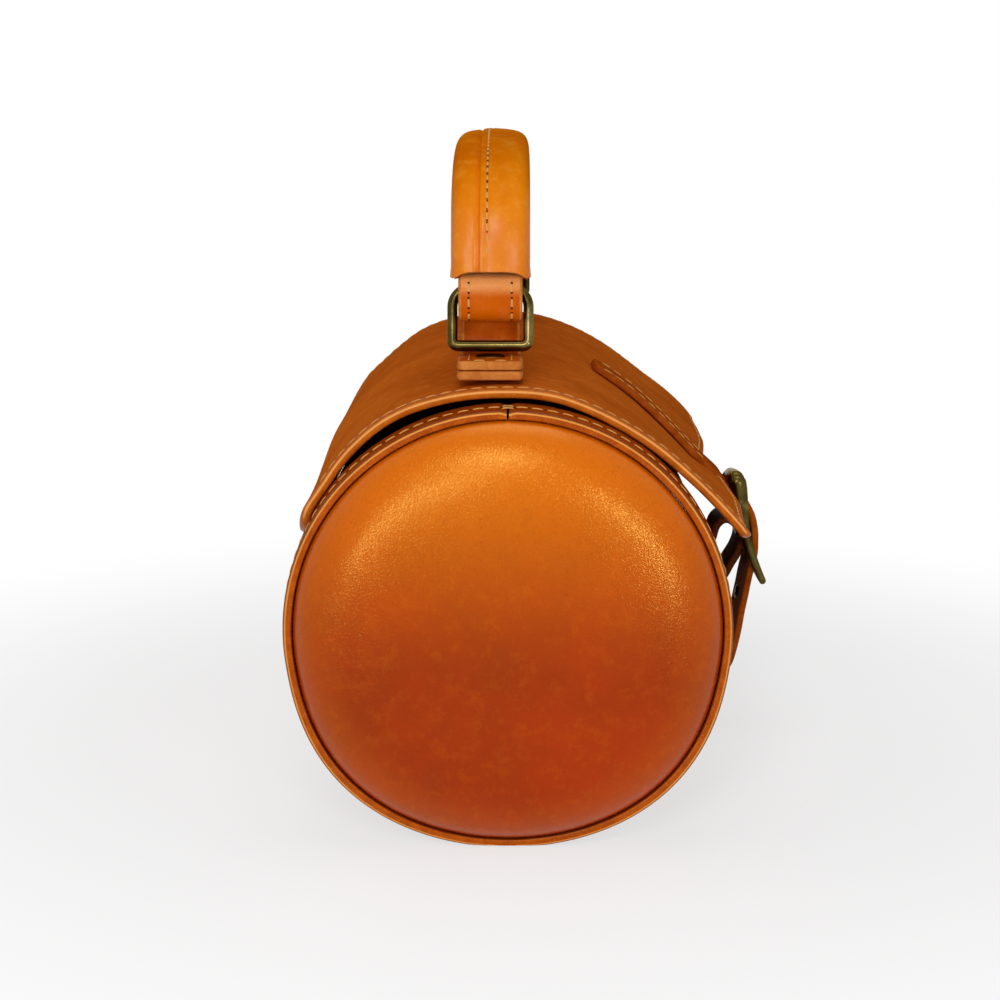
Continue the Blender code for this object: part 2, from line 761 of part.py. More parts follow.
def strap_on_lid_path(start_deg, end_deg):
    """Path just above the middle of the lid's surface, from start to end angle."""
    steps = round(abs(end_deg - start_deg) / 3)
    found = []
    for i in range(steps + 1):
        deg = start_deg + (end_deg - start_deg) * i / steps
        found.append(polar(lid_radius(deg, STRAP_WIDTH / LID_LENGTH) + SEAT_GAP, deg))
    return found


def make_strap_top():
    """The sewn part of the strap, bent over the lid; its start is rounded."""
    gap_deg = degrees(SEAT_GAP / BARREL_RADIUS)
    per_deg = radians(1) * BARREL_RADIUS

    def half_width(deg):
        away = (STRAP_START_DEG - deg) * per_deg
        if away < STRAP_START_ROUND:
            short = STRAP_START_ROUND - away
            return STRAP_WIDTH / 2 - STRAP_START_ROUND + sqrt(STRAP_START_ROUND ** 2 - short ** 2)
        return STRAP_WIDTH / 2

    strap = bent_sheet("strap_top", STRAP_HINGE_DEG + gap_deg, STRAP_START_DEG, half_width,
                       -SEAT_GAP - STRAP_LAYER, -SEAT_GAP, 20, 4)
    smooth(finish(strap, leather("strap_top", LIGHT_TAN)))


def strap_end_line():
    """Outer face of the free strap end, from its bend at the lid's edge to its tip."""
    start = polar(lid_radius(STRAP_HINGE_DEG, STRAP_WIDTH / LID_LENGTH) + SEAT_GAP + STRAP_LAYER,
                  STRAP_HINGE_DEG)
    return smooth_path([start] + shares_to_points(STRAP_END_SHARES), 3)


def make_strap_end():
    outer = strap_end_line()
    band = at_axis(ribbon(outer, 0, STRAP_LAYER))
    strap = plate("strap_end", [band], STRAP_WIDTH)
    x, z, turn = stud_place()
    hole = as_cutter(cylinder("stud_hole_cutter", STUD_SHANK + SEAT_GAP, 2 * (STRAP_LAYER + OVERRUN),
                              (x, 0, z), 16, (0, turn, 0)))
    cut(strap, hole)
    smooth(finish(strap, leather("strap_end", LIGHT_TAN)))


def stud_place():
    """Middle of the stud's place on the strap's outer face, and the tilt of the face there."""
    line = strap_end_line()
    i = min(range(len(line)), key=lambda k: abs(line[k][1] - STUD_HEIGHT_SHARE * BARREL_RADIUS))
    nx, nz = normals(line)[i]
    return line[i][0], line[i][1] + AXIS_HEIGHT, atan2(nx, nz)


def make_stud():
    """Stud through the strap end, with a cap on each side."""
    outside = SEAT_GAP
    inside = -STRAP_LAYER - SEAT_GAP
    flat = STUD_RADIUS * HEAD_FLAT_SHARE
    profile = [(0, outside + STUD_CAP), (flat, outside + STUD_CAP), (STUD_RADIUS, outside),
               (STUD_SHANK, outside), (STUD_SHANK, inside), (STUD_RADIUS, inside),
               (flat, inside - STUD_CAP), (0, inside - STUD_CAP)]
    x, z, turn = stud_place()
    stud = turned("strap_stud", profile, steps=12)
    stud.matrix_world = Matrix.Translation((x, 0, z)) @ Matrix.Rotation(turn, 4, "Y")
    smooth(finish(stud, brass("stud")))


def circle(centre, radius, step_deg=30):
    return arc(radius, 0, 360, centre, step_deg)[:-1]


def varied_band(path, radii):
    """Outline round a path whose half width changes, with round ends."""
    sides = normals(path)
    left = [(p[0] + n[0] * r, p[1] + n[1] * r) for p, n, r in zip(path, sides, radii)]
    right = [(p[0] - n[0] * r, p[1] - n[1] * r) for p, n, r in zip(path, sides, radii)]
    start = degrees(atan2(sides[0][1], sides[0][0]))
    end = degrees(atan2(-sides[-1][1], -sides[-1][0]))
    return (left[1:-1] + arc(radii[-1], end + 180, end, path[-1], 30)
            + right[::-1][1:-1] + arc(radii[0], start + 180, start, path[0], 30))


def make_slide():
    """Slide with two side plates and three bars, as one casting."""
    head, bar, tip = shares_to_points([HEAD_SHARES, BAR_SHARES, TIP_SHARES])
    path = [head] + shares_to_points(SLIDE_BOW_SHARES) + [tip]
    bow = smooth_path(path, 3)
    count = len(bow) - 1
    radii = []
    for i in range(count + 1):
        share = i / count
        least = BAR_RADIUS if share < SLIDE_TIP_SHARE else TIP_RADIUS
        radii.append(max(HEAD_RADIUS * (1 - share / SLIDE_TAPER_SHARE), least))
    side_outline = at_axis(varied_band(bow, radii))
    side_middle = STRAP_WIDTH / 2 + SLIDE_SIDE_GAP + SLIDE_SIDE / 2
    frame = plate("slide_frame", [side_outline], SLIDE_SIDE, -side_middle)
    other = plate("slide_other_side", [side_outline], SLIDE_SIDE, side_middle)
    pieces = [other]
    between = 2 * side_middle
    rods = ((head, HEAD_RADIUS, "head"), (bar, BAR_RADIUS, "bar"), (tip, TIP_RADIUS, "tip"))
    for middle, radius, label in rods:
        rod = plate("slide_" + label, [at_axis(circle(middle, radius - SLIDE_BAR_INSET))], between)
        pieces.append(rod)
    for piece in pieces:
        cut(frame, piece, "UNION")
        bpy.data.objects.remove(piece, do_unlink=True)
    smooth(finish(frame, brass("slide")))


def chape_line():
    """Middle line of the chape: foot against the wall, upper leg, round the bar, lower leg, tail."""
    bar = shares_to_points([BAR_SHARES])[0]
    loop = arc(BAR_RADIUS + SEAT_GAP + CHAPE_LAYER / 2, 120, -70, bar, 25)
    foot_radius = SHELL_RADIUS + 4 * SEAT_GAP + CATCH_PLATE + CATCH_MAGNET + CHAPE_LAYER / 2
    foot = [polar(foot_radius, deg) for deg in CHAPE_FOOT_DEGS]
    tail = [polar(foot_radius + CHAPE_LAYER + SEAT_GAP, deg) for deg in CHAPE_TAIL_DEGS]
    legs = shares_to_points(UPPER_LEG_SHARES), shares_to_points(LOWER_LEG_SHARES)
    return smooth_path(foot + legs[0] + loop + legs[1] + tail, 2)


def make_chape():
    """Leather strip folded round the middle bar, with its tail sewn to its foot."""
    band = at_axis(ribbon(chape_line(), CHAPE_LAYER / 2, CHAPE_LAYER / 2))
    chape = plate("slide_chape", [band], CHAPE_WIDTH)
    smooth(finish(chape, leather("chape", DARK_TAN)))


def make_catch():
    """Flat catch: a plate on the wall and a magnet on the inside of the chape's foot."""
    plate_middle = SHELL_RADIUS + SEAT_GAP + CATCH_PLATE / 2
    magnet_middle = SHELL_RADIUS + 2 * SEAT_GAP + CATCH_PLATE + CATCH_MAGNET / 2
    for name, radius, thickness in (("catch_plate", plate_middle, CATCH_PLATE),
                                    ("catch_magnet", magnet_middle, CATCH_MAGNET)):
        x, z = polar(radius, CATCH_DEG)
        disc = cylinder(name, CATCH_RADIUS, thickness, (x, 0, z + AXIS_HEIGHT), 24,
                        (0, radians(90 - CATCH_DEG), 0))
        smooth(finish(disc, material(name + "_steel", STEEL, 0.3, 1.0)))


# Joints

def pivot(name, place, pieces, carrier=None):
    """Empty on a joint's axis, which carries the pieces that move with it."""
    empty = bpy.data.objects.new(name, None)
    PARTS.objects.link(empty)
    empty.location = place
    if carrier:
        empty.parent = carrier
        empty.matrix_parent_inverse = Matrix.Translation(carrier.location).inverted()
    for piece in pieces:
        obj = bpy.data.objects[piece]
        obj.parent = empty
        obj.matrix_parent_inverse = Matrix.Translation(place).inverted()
    return empty


def add_pivots():
    hinge_x, hinge_z = polar(lid_radius(LID_HINGE_DEG), LID_HINGE_DEG)
    lid = pivot("lid_pivot", Vector((hinge_x, 0, hinge_z + AXIS_HEIGHT)),
                ["lid", "lid_lining", "strap_top", "handle_base_near", "handle_base_far",
                 "handle_foot_near", "handle_foot_far", "handle_rivet_near", "handle_rivet_far"])
    bend_x, bend_z = strap_end_line()[0]
    pivot("closure_pivot", Vector((bend_x, 0, bend_z + AXIS_HEIGHT)),
          ["strap_end", "slide_frame", "slide_chape", "catch_magnet", "strap_stud"], lid)
    foot_top = foot_seat_height() + 2 * (SEAT_GAP + STRAP_LEATHER)
    handle = pivot("handle_pivot", Vector((HANDLE_OFFSET, 0, foot_top)),
                   ["handle_strap", "handle_sleeve", "handle_padding", "ring_tab_near", "ring_tab_far"],
                   lid)
    outward, high = tab_place()
    for side, place in ((-1, "near"), (1, "far")):
        pivot("ring_pivot_" + place, Vector((HANDLE_OFFSET, side * outward, high)),
              ["d_ring_" + place], handle)


def stand_over_origin():
    """Move the bag so that the origin lies under the middle of its bounds."""
    bpy.context.view_layer.update()
    across = [(obj.matrix_world @ vert.co).x for obj in PARTS.objects if obj.type == "MESH"
              for vert in obj.data.vertices]
    middle = (min(across) + max(across)) / 2
    for obj in PARTS.objects:
        if obj.parent is None:
            obj.matrix_world = Matrix.Translation((-middle, 0, 0)) @ obj.matrix_world


make_barrel()
for end_side, end_name in ((-1, "near"), (1, "far")):
    make_binding("end_binding_" + end_name, end_side)
    make_end_panel("end_panel_" + end_name, end_side)
    make_tab("ring_tab_" + end_name, end_side)
    make_ring("d_ring_" + end_name, end_side)
make_lid()
make_feet()
make_sleeve()
make_core()
make_strap_top()
make_strap_end()
make_stud()
make_slide()
make_chape()
make_catch()
add_pivots()
stand_over_origin()
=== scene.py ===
from bisect import bisect_right
from math import sin, cos, radians, degrees, pi, sqrt, atan2
import bpy
import bmesh
from mathutils import Vector, Matrix, noise


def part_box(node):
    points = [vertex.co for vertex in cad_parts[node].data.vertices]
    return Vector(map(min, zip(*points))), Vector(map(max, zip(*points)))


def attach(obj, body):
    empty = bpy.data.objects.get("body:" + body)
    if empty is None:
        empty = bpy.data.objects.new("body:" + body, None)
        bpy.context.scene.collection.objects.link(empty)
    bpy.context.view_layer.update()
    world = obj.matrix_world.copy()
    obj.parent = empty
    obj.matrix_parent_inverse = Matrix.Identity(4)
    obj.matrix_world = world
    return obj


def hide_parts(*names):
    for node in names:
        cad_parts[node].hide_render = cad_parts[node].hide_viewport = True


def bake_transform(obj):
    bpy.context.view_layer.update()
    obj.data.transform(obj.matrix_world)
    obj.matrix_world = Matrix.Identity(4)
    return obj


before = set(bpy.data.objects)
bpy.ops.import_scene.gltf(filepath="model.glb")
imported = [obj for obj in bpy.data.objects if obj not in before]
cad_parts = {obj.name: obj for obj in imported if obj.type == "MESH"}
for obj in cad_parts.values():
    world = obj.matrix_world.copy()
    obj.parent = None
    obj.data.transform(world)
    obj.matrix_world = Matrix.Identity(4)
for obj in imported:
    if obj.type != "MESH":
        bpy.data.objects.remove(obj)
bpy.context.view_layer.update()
mm = 0.001
sideways, upward = Vector((0, 1, 0)), Vector((0, 0, 1))

# Where the barrel lies, read from the frame
ringLow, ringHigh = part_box("end_binding_near")
axisX = (ringLow[0] + ringHigh[0]) / 2
rimRadius = (ringHigh[0] - ringLow[0]) / 2
axisZ = ringHigh[2] - rimRadius
rimEnd = -ringLow[1]
rimInside = -ringHigh[1]

camera = dict(place=(axisX + 0.0026, -0.699, 0.2218), tilt=79.0, turn=0.4956, lens=69.44, sensor=36)
light = dict(world=0.2, floor=(0.97, 0.97, 0.97, 1), floorTone=(0.94, 0.94, 0.94, 1), floorNear=0.68,
             floorFade=(0.10, 0.30), floorZ=-0.6 * mm, aim=(axisX, -0.05, 0.09))
lamps = [dict(name="left", power=2.35, size=0.12, long=0.60, along=(0.429, -0.106, 0.418),
              place=(-0.40, -1.047, 0.245)),
         dict(name="above", power=2.55, size=0.28, place=(-0.10, -0.98, 0.68)),
         dict(name="right", power=2.05, size=0.13, long=0.42, along=(-0.254, -0.08, 0.333),
              place=(0.473, -1.04, 0.20)),
         dict(name="top", power=1.5, size=0.5, place=(0.02, -0.10, 0.95)),
         dict(name="back", power=1.7, size=0.5, place=(-0.45, 1.0, 0.55))]

barrel = dict(radius=67.9 * mm, wall=2.6 * mm, mouthFront=30, mouthBack=150, wobble=0.25 * mm,
              proud=0.1 * mm, spread=0.148, spreadFrom=0.15, floorGap=0.5 * mm, bevel=0.6 * mm,
              stitch=3.2, rows=132, columns=40)
lining = dict(radius=65.0 * mm, wall=1.2 * mm)
rim = dict(depth=3.6 * mm, slit=0.35 * mm, outerRound=1.2 * mm, innerRound=0.7 * mm, front=-0.7 * mm,
           back=0.6 * mm, backLow=-0.7 * mm, stitch=3.7 * mm, pinch=0.5 * mm, pinchReach=1.6 * mm,
           wobble=0.06 * mm, joinStitches=(2.9 * mm, 4.9 * mm))
panel = dict(radius=66.15 * mm, rise=12.0 * mm, setBack=1.4 * mm, wall=2.4 * mm, puff=0.45 * mm,
             tight=0.12 * mm, square=5.0, dome=1 / 1.6, steps=128, fill=0.8)
lid = dict(half=120 * mm, thick=3.1 * mm, backThick=3.5 * mm, front=21, back=157, sag=4.2 * mm,
           frontTurn=3.4, frontReach=4.6 * mm, backTurn=8.5, backReach=20 * mm, bulge=3.6 * mm,
           nearBulge=3.5 * mm, wobble=0.25 * mm, rows=110, columns=72, edgeCells=3,
           stitch=3.3 * mm, stitchTop=142, backStitches=(152.6, 155.2))
handle = dict(x=-5.6 * mm, leg=91 * mm, mouth=175.6 * mm, top=210 * mm, bend=3.4, wide=12.4 * mm,
              deep=10.2 * mm, corner=4.2, wall=1.5 * mm, arch=4.0 * mm, overlap=0.5 * mm,
              seam=-3.2 * mm, stitch=2.2 * mm, flare=0.35 * mm, fill=0.9)
handleX = axisX + handle["x"]
foot = dict(wide=20.4 * mm, long=18.6 * mm, front=112.6 * mm, thick=2.8 * mm, edge=0.9 * mm,
            corner=2.4 * mm, stitch=6.6 * mm, stitchIn=2.2 * mm)
core = dict(wide=18.6 * mm, fromMiddle=4.2 * mm, narrows=(15 * mm, 24 * mm))
tab = dict(wide=20 * mm, thick=2.2 * mm, cavity=7 * mm, edge=0.9 * mm, stitch=6.7 * mm)
ring = dict(wire=1.6 * mm, inner=20.6 * mm, corner=6.0 * mm, height=18.2 * mm, lean=12, thicker=0.10)
strap = dict(wide=24 * mm, thick=2.4 * mm, start=66, startRound=6 * mm, tipRound=9 * mm, hinge=21,
             edge=0.7 * mm, stitch=8.8 * mm)
slide = dict(half=14.1 * mm, farDrop=2.6 * mm, head=3.2 * mm, side=1.75 * mm, thinner=0.5 * mm,
             farShare=0.8, flat=0.62, headBar=(2.9 * mm, 0.25 * mm), middleBar=(1.6 * mm, 0),
             tipBar=(1.25 * mm, 0.15 * mm))
chape = dict(wide=20 * mm, thick=2.7 * mm, edge=0.8 * mm, loop=2.75 * mm, foot=72.6 * mm,
             tail=74.7 * mm)
thread = dict(pitch=4.7 * mm, long=3.9 * mm, thick=0.27 * mm)
sleeveThread = dict(pitch=3.5 * mm, long=2.5 * mm, thick=0.34 * mm)
tabThread = dict(pitch=4.4 * mm, long=2.9 * mm, thick=0.34 * mm)
seat = 0.3 * mm
onFace = 0.02 * mm

# Angle about the barrel's axis, and the lid's radius as a share of the rim's, its sag and its bulges
lidRows = [(16, 1.190), (18, 1.180), (21, 1.161), (25, 1.138), (30, 1.111), (36, 1.086), (42, 1.069),
           (48, 1.061), (55, 1.058), (62, 1.059), (70, 1.065), (77, 1.073), (83, 1.081), (90, 1.089),
           (100, 1.099), (108, 1.107), (115, 1.114), (122, 1.119), (130, 1.117), (140, 1.108),
           (146, 1.096), (150, 1.077), (153, 1.062), (157, 1.0545), (160, 1.05)]
sagRows = [(19, 0.40), (21, 0.50), (25, 0.79), (30, 0.85), (40, 0.70), (85, 0), (146, 0),
           (150, 0.25), (153, 0.62), (157, 0.50), (160, 0.50)]
bulgeRows = [(21, 1.0), (26, 1.0), (34, 0.7), (42, 0.2), (50, 0), (60, 0)]
nearBulgeRows = [(21, 1.0), (24, 0.85), (29, 0.45), (35, 0.15), (42, 0)]
# How far the lid's near and far ends lie inside its rows, in mm
nearRows = [(60, 0), (78, 0.1), (84, 0.5), (90, 1.1), (98, 1.35), (108, 1.5), (114, 1.5), (119, 1.8),
            (124.5, 2.35), (129, 2.85), (135, 3.25), (140, 3.8), (143, 3.6), (146, 3.2), (149, 2.1),
            (151, 1.7), (153, 1.9), (157, 2.2), (160, 2.2)]
farRows = [(118, 0), (127, 1.0), (134, 1.0), (140, -0.2), (146, -1.0), (150, -0.8), (153, 0), (160, 0)]
# Where along the barrel each of these fades in, and where the bulges fade out again
nearFade, farFade = (10 * mm, 116 * mm), (-20 * mm, 110 * mm)
bulgeFade, bulgeEnd, bulgeEndShare = (14 * mm, 62 * mm), (82 * mm, 116 * mm), 0.25
nearBulgeFade, nearBulgeEnd = (13 * mm, 34 * mm), (64 * mm, 114 * mm)
# Points across and up from the axis, as shares of the rim's radius
strapRows = [(1.113, 0.394), (1.134, 0.363), (1.166, 0.340), (1.200, 0.320), (1.229, 0.294),
             (1.259, 0.244), (1.281, 0.191), (1.294, 0.124), (1.297, 0.064), (1.294, -0.010),
             (1.266, -0.144), (1.253, -0.220), (1.236, -0.310), (1.217, -0.430), (1.190, -0.553),
             (1.171, -0.643)]
slideRows = [(1.173, 0.398), (1.194, 0.294), (1.213, 0.216), (1.222, 0.136), (1.231, 0.083),
             (1.259, -0.001), (1.291, -0.076), (1.320, -0.140)]
barRow = (1.200, 0.114)
upperLeg = [(1.061, 0.071), (1.070, 0.106), (1.080, 0.137), (1.099, 0.161), (1.123, 0.174),
            (1.151, 0.171)]
lowerLeg = [(1.210, 0.043), (1.191, -0.010), (1.159, -0.064), (1.126, -0.127), (1.084, -0.180)]


def addObject(name, data):
    made = bpy.data.objects.new(name, data)
    bpy.context.scene.collection.objects.link(made)
    return made


def makeCamera():
    data = bpy.data.cameras.new("camera")
    data.lens = camera["lens"]
    data.sensor_width = camera["sensor"]
    made = addObject("camera", data)
    made.location = camera["place"]
    made.rotation_euler = (radians(camera["tilt"]), 0, radians(camera["turn"]))
    bpy.context.scene.camera = made
    bpy.context.scene.view_settings.view_transform = "Standard"


makeCamera()
print("camera ready")


# Nodes
class Wire:
    # A socket with arithmetic

    def __init__(self, tree, out):
        self.tree = tree
        self.out = out

    def math(self, kind, first, second=None, clamp=False):
        return addNode(self.tree, "ShaderNodeMath", {0: first, 1: second},
                       {"operation": kind, "use_clamp": clamp})

    def __add__(self, other):
        return self.math("ADD", self, other)

    def __radd__(self, other):
        return self.math("ADD", other, self)

    def __sub__(self, other):
        return self.math("SUBTRACT", self, other)

    def __rsub__(self, other):
        return self.math("SUBTRACT", other, self)

    def __mul__(self, other):
        return self.math("MULTIPLY", self, other)

    def __pow__(self, other):
        return self.math("POWER", self, other)

    def sine(self):
        return self.math("SINE", self)

    def clamp(self):
        return self.math("ADD", self, 0.0, clamp=True)

    def step(self, low, high):
        # 0 below low, 1 above high, smooth between
        return addNode(self.tree, "ShaderNodeMapRange",
                       {"Value": self, "From Min": low, "From Max": high},
                       {"interpolation_type": "SMOOTHSTEP"})


def addNode(tree, kind, values=None, settings=None, out=0):
    node = tree.nodes.new(kind)
    for key, value in (settings or {}).items():
        setattr(node, key, value)
    for key, value in (values or {}).items():
        if isinstance(value, Wire):
            tree.links.new(value.out, node.inputs[key])
        elif value is not None:
            node.inputs[key].default_value = value
    return Wire(tree, node.outputs[out])


class Paint:
    # One material and its nodes

    def __init__(self, name):
        self.material = bpy.data.materials.new(name)
        self.material.use_nodes = True
        self.tree = self.material.node_tree
        self.shader = self.tree.nodes["Principled BSDF"]
        self.where = self.node("ShaderNodeTexCoord", out="Object")

    def node(self, kind, values=None, settings=None, out=0):
        return addNode(self.tree, kind, values, settings, out)

    def parts(self, vector=None):
        first = self.node("ShaderNodeSeparateXYZ", {0: vector or self.where})
        return [Wire(self.tree, out) for out in first.out.node.outputs]

    def cloud(self, scale, detail, rough, twist=0.0):
        return self.node("ShaderNodeTexNoise", {"Vector": self.where, "Scale": scale,
                         "Detail": detail, "Roughness": rough, "Distortion": twist})

    def cells(self, scale, feature):
        return self.node("ShaderNodeTexVoronoi", {"Vector": self.where, "Scale": scale},
                         {"feature": feature}, "Distance")

    def blend(self, share, first, second):
        return self.node("ShaderNodeMix", {0: share, 6: first, 7: second}, {"data_type": "RGBA"}, 2)

    def bump(self, height, distance, strength, below=None):
        return self.node("ShaderNodeBump", {"Height": height, "Distance": distance,
                                            "Strength": strength, "Normal": below})

    def finish(self, fixed, colour, rough, normal=None, coat=None):
        for key, value in fixed.items():
            self.shader.inputs[key].default_value = value
        for key, value in (("Base Color", colour), ("Roughness", rough), ("Normal", normal),
                           ("Coat Weight", coat)):
            if value:
                self.tree.links.new(value.out, self.shader.inputs[key])
        return self.material


def rgb(tone):
    # Screen values 0 to 255 as a linear colour
    return (*[((c / 255 + 0.055) / 1.055) ** 2.4 if c > 10 else c / 255 / 12.92 for c in tone], 1.0)


def leather(paint, look, deep, mid, bright):
    look = {**plainLeather, **look}
    x, y, z = paint.parts()
    patina = paint.cloud(look["patina"], 5, 0.55, 0.3).step(0.28, 0.74)
    mottle = paint.cloud(look["mottle"], 5, 0.7)
    flecks = paint.cloud(620, 3, 0.7)
    fine = paint.cloud(1900, 2, 0.6)
    pores = paint.cells(look["grain"], "F1")
    creases = paint.cells(look["grain"] * 0.62, "DISTANCE_TO_EDGE").step(0.0, 0.14)
    colour = paint.blend(patina * 0.8, deep, mid)
    # Painted light: the colour turns lighter above the given height, standing in for light falling on
    # the top; on the tab it is a painted highlight along the upper fold
    if "glow" in look:
        colour = paint.blend(z.step(*look["glow"]) * look["glowShare"], colour, bright)
    # Painted highlight: the outer ring of the round ends turns lighter, where the shoulder catches the
    # lamps
    if "shoulder" in look:
        out = ((x - axisX) ** 2 + (z - axisZ) ** 2) ** 0.5
        share = out.step(*look["shoulder"]) * look["shoulderShare"]
        colour = paint.blend(share, colour, rgb(look["rimTone"]))
    colour = paint.blend(mottle.step(0.46, 0.72) * look["spots"], colour, bright)
    colour = paint.blend(flecks.step(0.56, 0.74) * look["flecks"], colour, deep)
    grainDark = (1.0 - creases) * look["grainDark"] + fine.step(0.55, 0.8) * 0.12
    colour = paint.blend(grainDark, colour, deep)
    wear = paint.cloud(48, 7, 0.72, 1.4).step(0.62, 0.73) * look["wear"]
    colour = paint.blend(wear, colour, bright)
    height = pores * 0.45 + creases * 0.25 + fine * 0.4 + flecks * 0.3
    normal = paint.bump(height, look["bump"] * mm, 0.7)
    normal = paint.bump(paint.cloud(70, 4, 0.5, 0.3), look["dents"] * mm, 0.4, normal)
    rough = look["rough"] + mottle * 0.12 + flecks * 0.08 - patina * 0.04 + wear * 0.3
    coat = None
    if "coatBelow" in look:
        # Polished where hands and hardware rub, dull higher up
        coat = (1.0 - z.step(*look["coatBelow"])) * look["coat"] * (1.0 - flecks * 0.3)
    return paint.finish({"Coat Weight": look["coat"], "Coat Roughness": 0.3,
                         "Specular IOR Level": look["specular"], "Specular Tint": look["tint"]},
                        colour, rough, normal, coat)


def edgePaint(paint, look, deep, mid, bright):
    layers = paint.cloud(190, 4, 0.6, 0.6)
    fine = paint.cloud(1400, 3, 0.6)
    colour = paint.blend(layers.step(0.3, 0.72), deep, mid)
    colour = paint.blend(fine.step(0.5, 0.8) * 0.2, colour, bright)
    if "corner" in look:
        # Painted shade darkens the edge where it turns into the faces, and a painted highlight lightens
        # its crown
        x, y, z = paint.parts()
        nx, ny, nz = paint.parts(paint.node("ShaderNodeTexCoord", out="Normal"))
        facing = ny * ny
        outward = (nx * (x - axisX) + nz * (z - axisZ)).step(0.0, 0.016)
        crown = facing.step(0.55, 0.80) * (1.0 - facing.step(0.93, 0.995)) * outward
        paintedCornerShade = (1.0 - facing.step(*look["turn"])) * look["burnish"]
        colour = paint.blend(paintedCornerShade, colour, rgb(look["corner"]))
        colour = paint.blend(crown * 0.7, colour, rgb(look["crown"]))
    return paint.finish({"Specular IOR Level": look.get("specular", 0.1),
                         "Specular Tint": (1, 0.75, 0.35, 1)}, colour, 0.20 + fine * 0.14,
                        paint.bump(layers * 0.6 + fine * 0.2, 0.015 * mm, 0.4))


def suede(paint, look, deep, bright):
    nap = paint.cloud(900, 5, 0.75)
    broad = paint.cloud(45, 4, 0.6, 0.5)
    colour = paint.blend(nap.step(0.35, 0.7), deep, bright)
    colour = paint.blend(broad.step(0.45, 0.7) * 0.35, colour, deep)
    return paint.finish({"Specular IOR Level": 0.03, "Sheen Weight": 0.05, "Sheen Roughness": 0.5},
                        colour, 0.86 + nap * 0.1, paint.bump(nap, 0.25 * mm, 0.9))


def cloth(paint, look, deep, bright):
    # Plain weave: threads along the barrel over threads round it
    x, y, z = paint.parts()
    turns = 2 * pi / look["pitch"]
    weave = (y * turns).sine() * ((x + z) * turns * 0.8).sine() * 0.5 + 0.5
    fuzz = paint.cloud(700, 4, 0.6)
    colour = paint.blend(weave.clamp() * 0.35 + fuzz * 0.5, deep, bright)
    return paint.finish({"Sheen Weight": 0.05, "Specular IOR Level": 0.05}, colour,
                        0.8 + fuzz * 0.15, paint.bump(weave * 0.7 + fuzz * 0.3, 0.2 * mm, 0.8))


def agedBrass(paint, look, dark, mid, bright):
    stain = paint.cloud(130, 5, 0.6, 0.6).step(0.25, 0.75)
    speck = paint.cloud(1500, 3, 0.6)
    rubbed = paint.cloud(60, 3, 0.5, 1.0).step(0.5, 0.75)
    colour = paint.blend(stain * 0.7, dark, mid)
    colour = paint.blend(rubbed * 0.5, colour, bright)
    colour = paint.blend(speck.step(0.6, 0.78) * 0.3, colour, dark)
    rough = 0.13 + speck * 0.10 + (1.0 - stain) * 0.10
    return paint.finish({"Metallic": 1.0, "Specular Tint": (0.5, 0.42, 0.26, 1)}, colour, rough,
                        paint.bump(speck, 0.02 * mm, 0.5))


def waxedThread(paint, look, deep, bright):
    x, y, z = paint.parts()
    ply = ((x + y + z) * (2 * pi / look["pitch"])).sine() * 0.5 + 0.5
    fuzz = paint.cloud(2600, 2, 0.6)
    colour = paint.blend(ply.clamp() * 0.6 + fuzz * 0.4, deep, bright)
    return paint.finish({"Specular IOR Level": 0.1}, colour, 0.5 + fuzz * 0.2,
                        paint.bump(ply * 0.8 + fuzz * 0.2, 0.06 * mm, 0.8))


def brushed(paint, look, dark, bright):
    lines = paint.cloud(900, 2, 0.5)
    colour = paint.blend(paint.cloud(140, 4, 0.6, 0.5), dark, bright)
    return paint.finish({"Metallic": 1.0}, colour, 0.28 + lines * 0.25,
                        paint.bump(lines, 0.03 * mm, 0.5))


plainLeather = dict(patina=22, mottle=210, grain=1500, glowShare=0.5, spots=0.24, flecks=0.22,
                    grainDark=0.12, wear=0.12, bump=0.09, dents=0.30, rough=0.36, coat=0.02,
                    specular=0.1, tint=(1.0, 0.8, 0.5, 1))
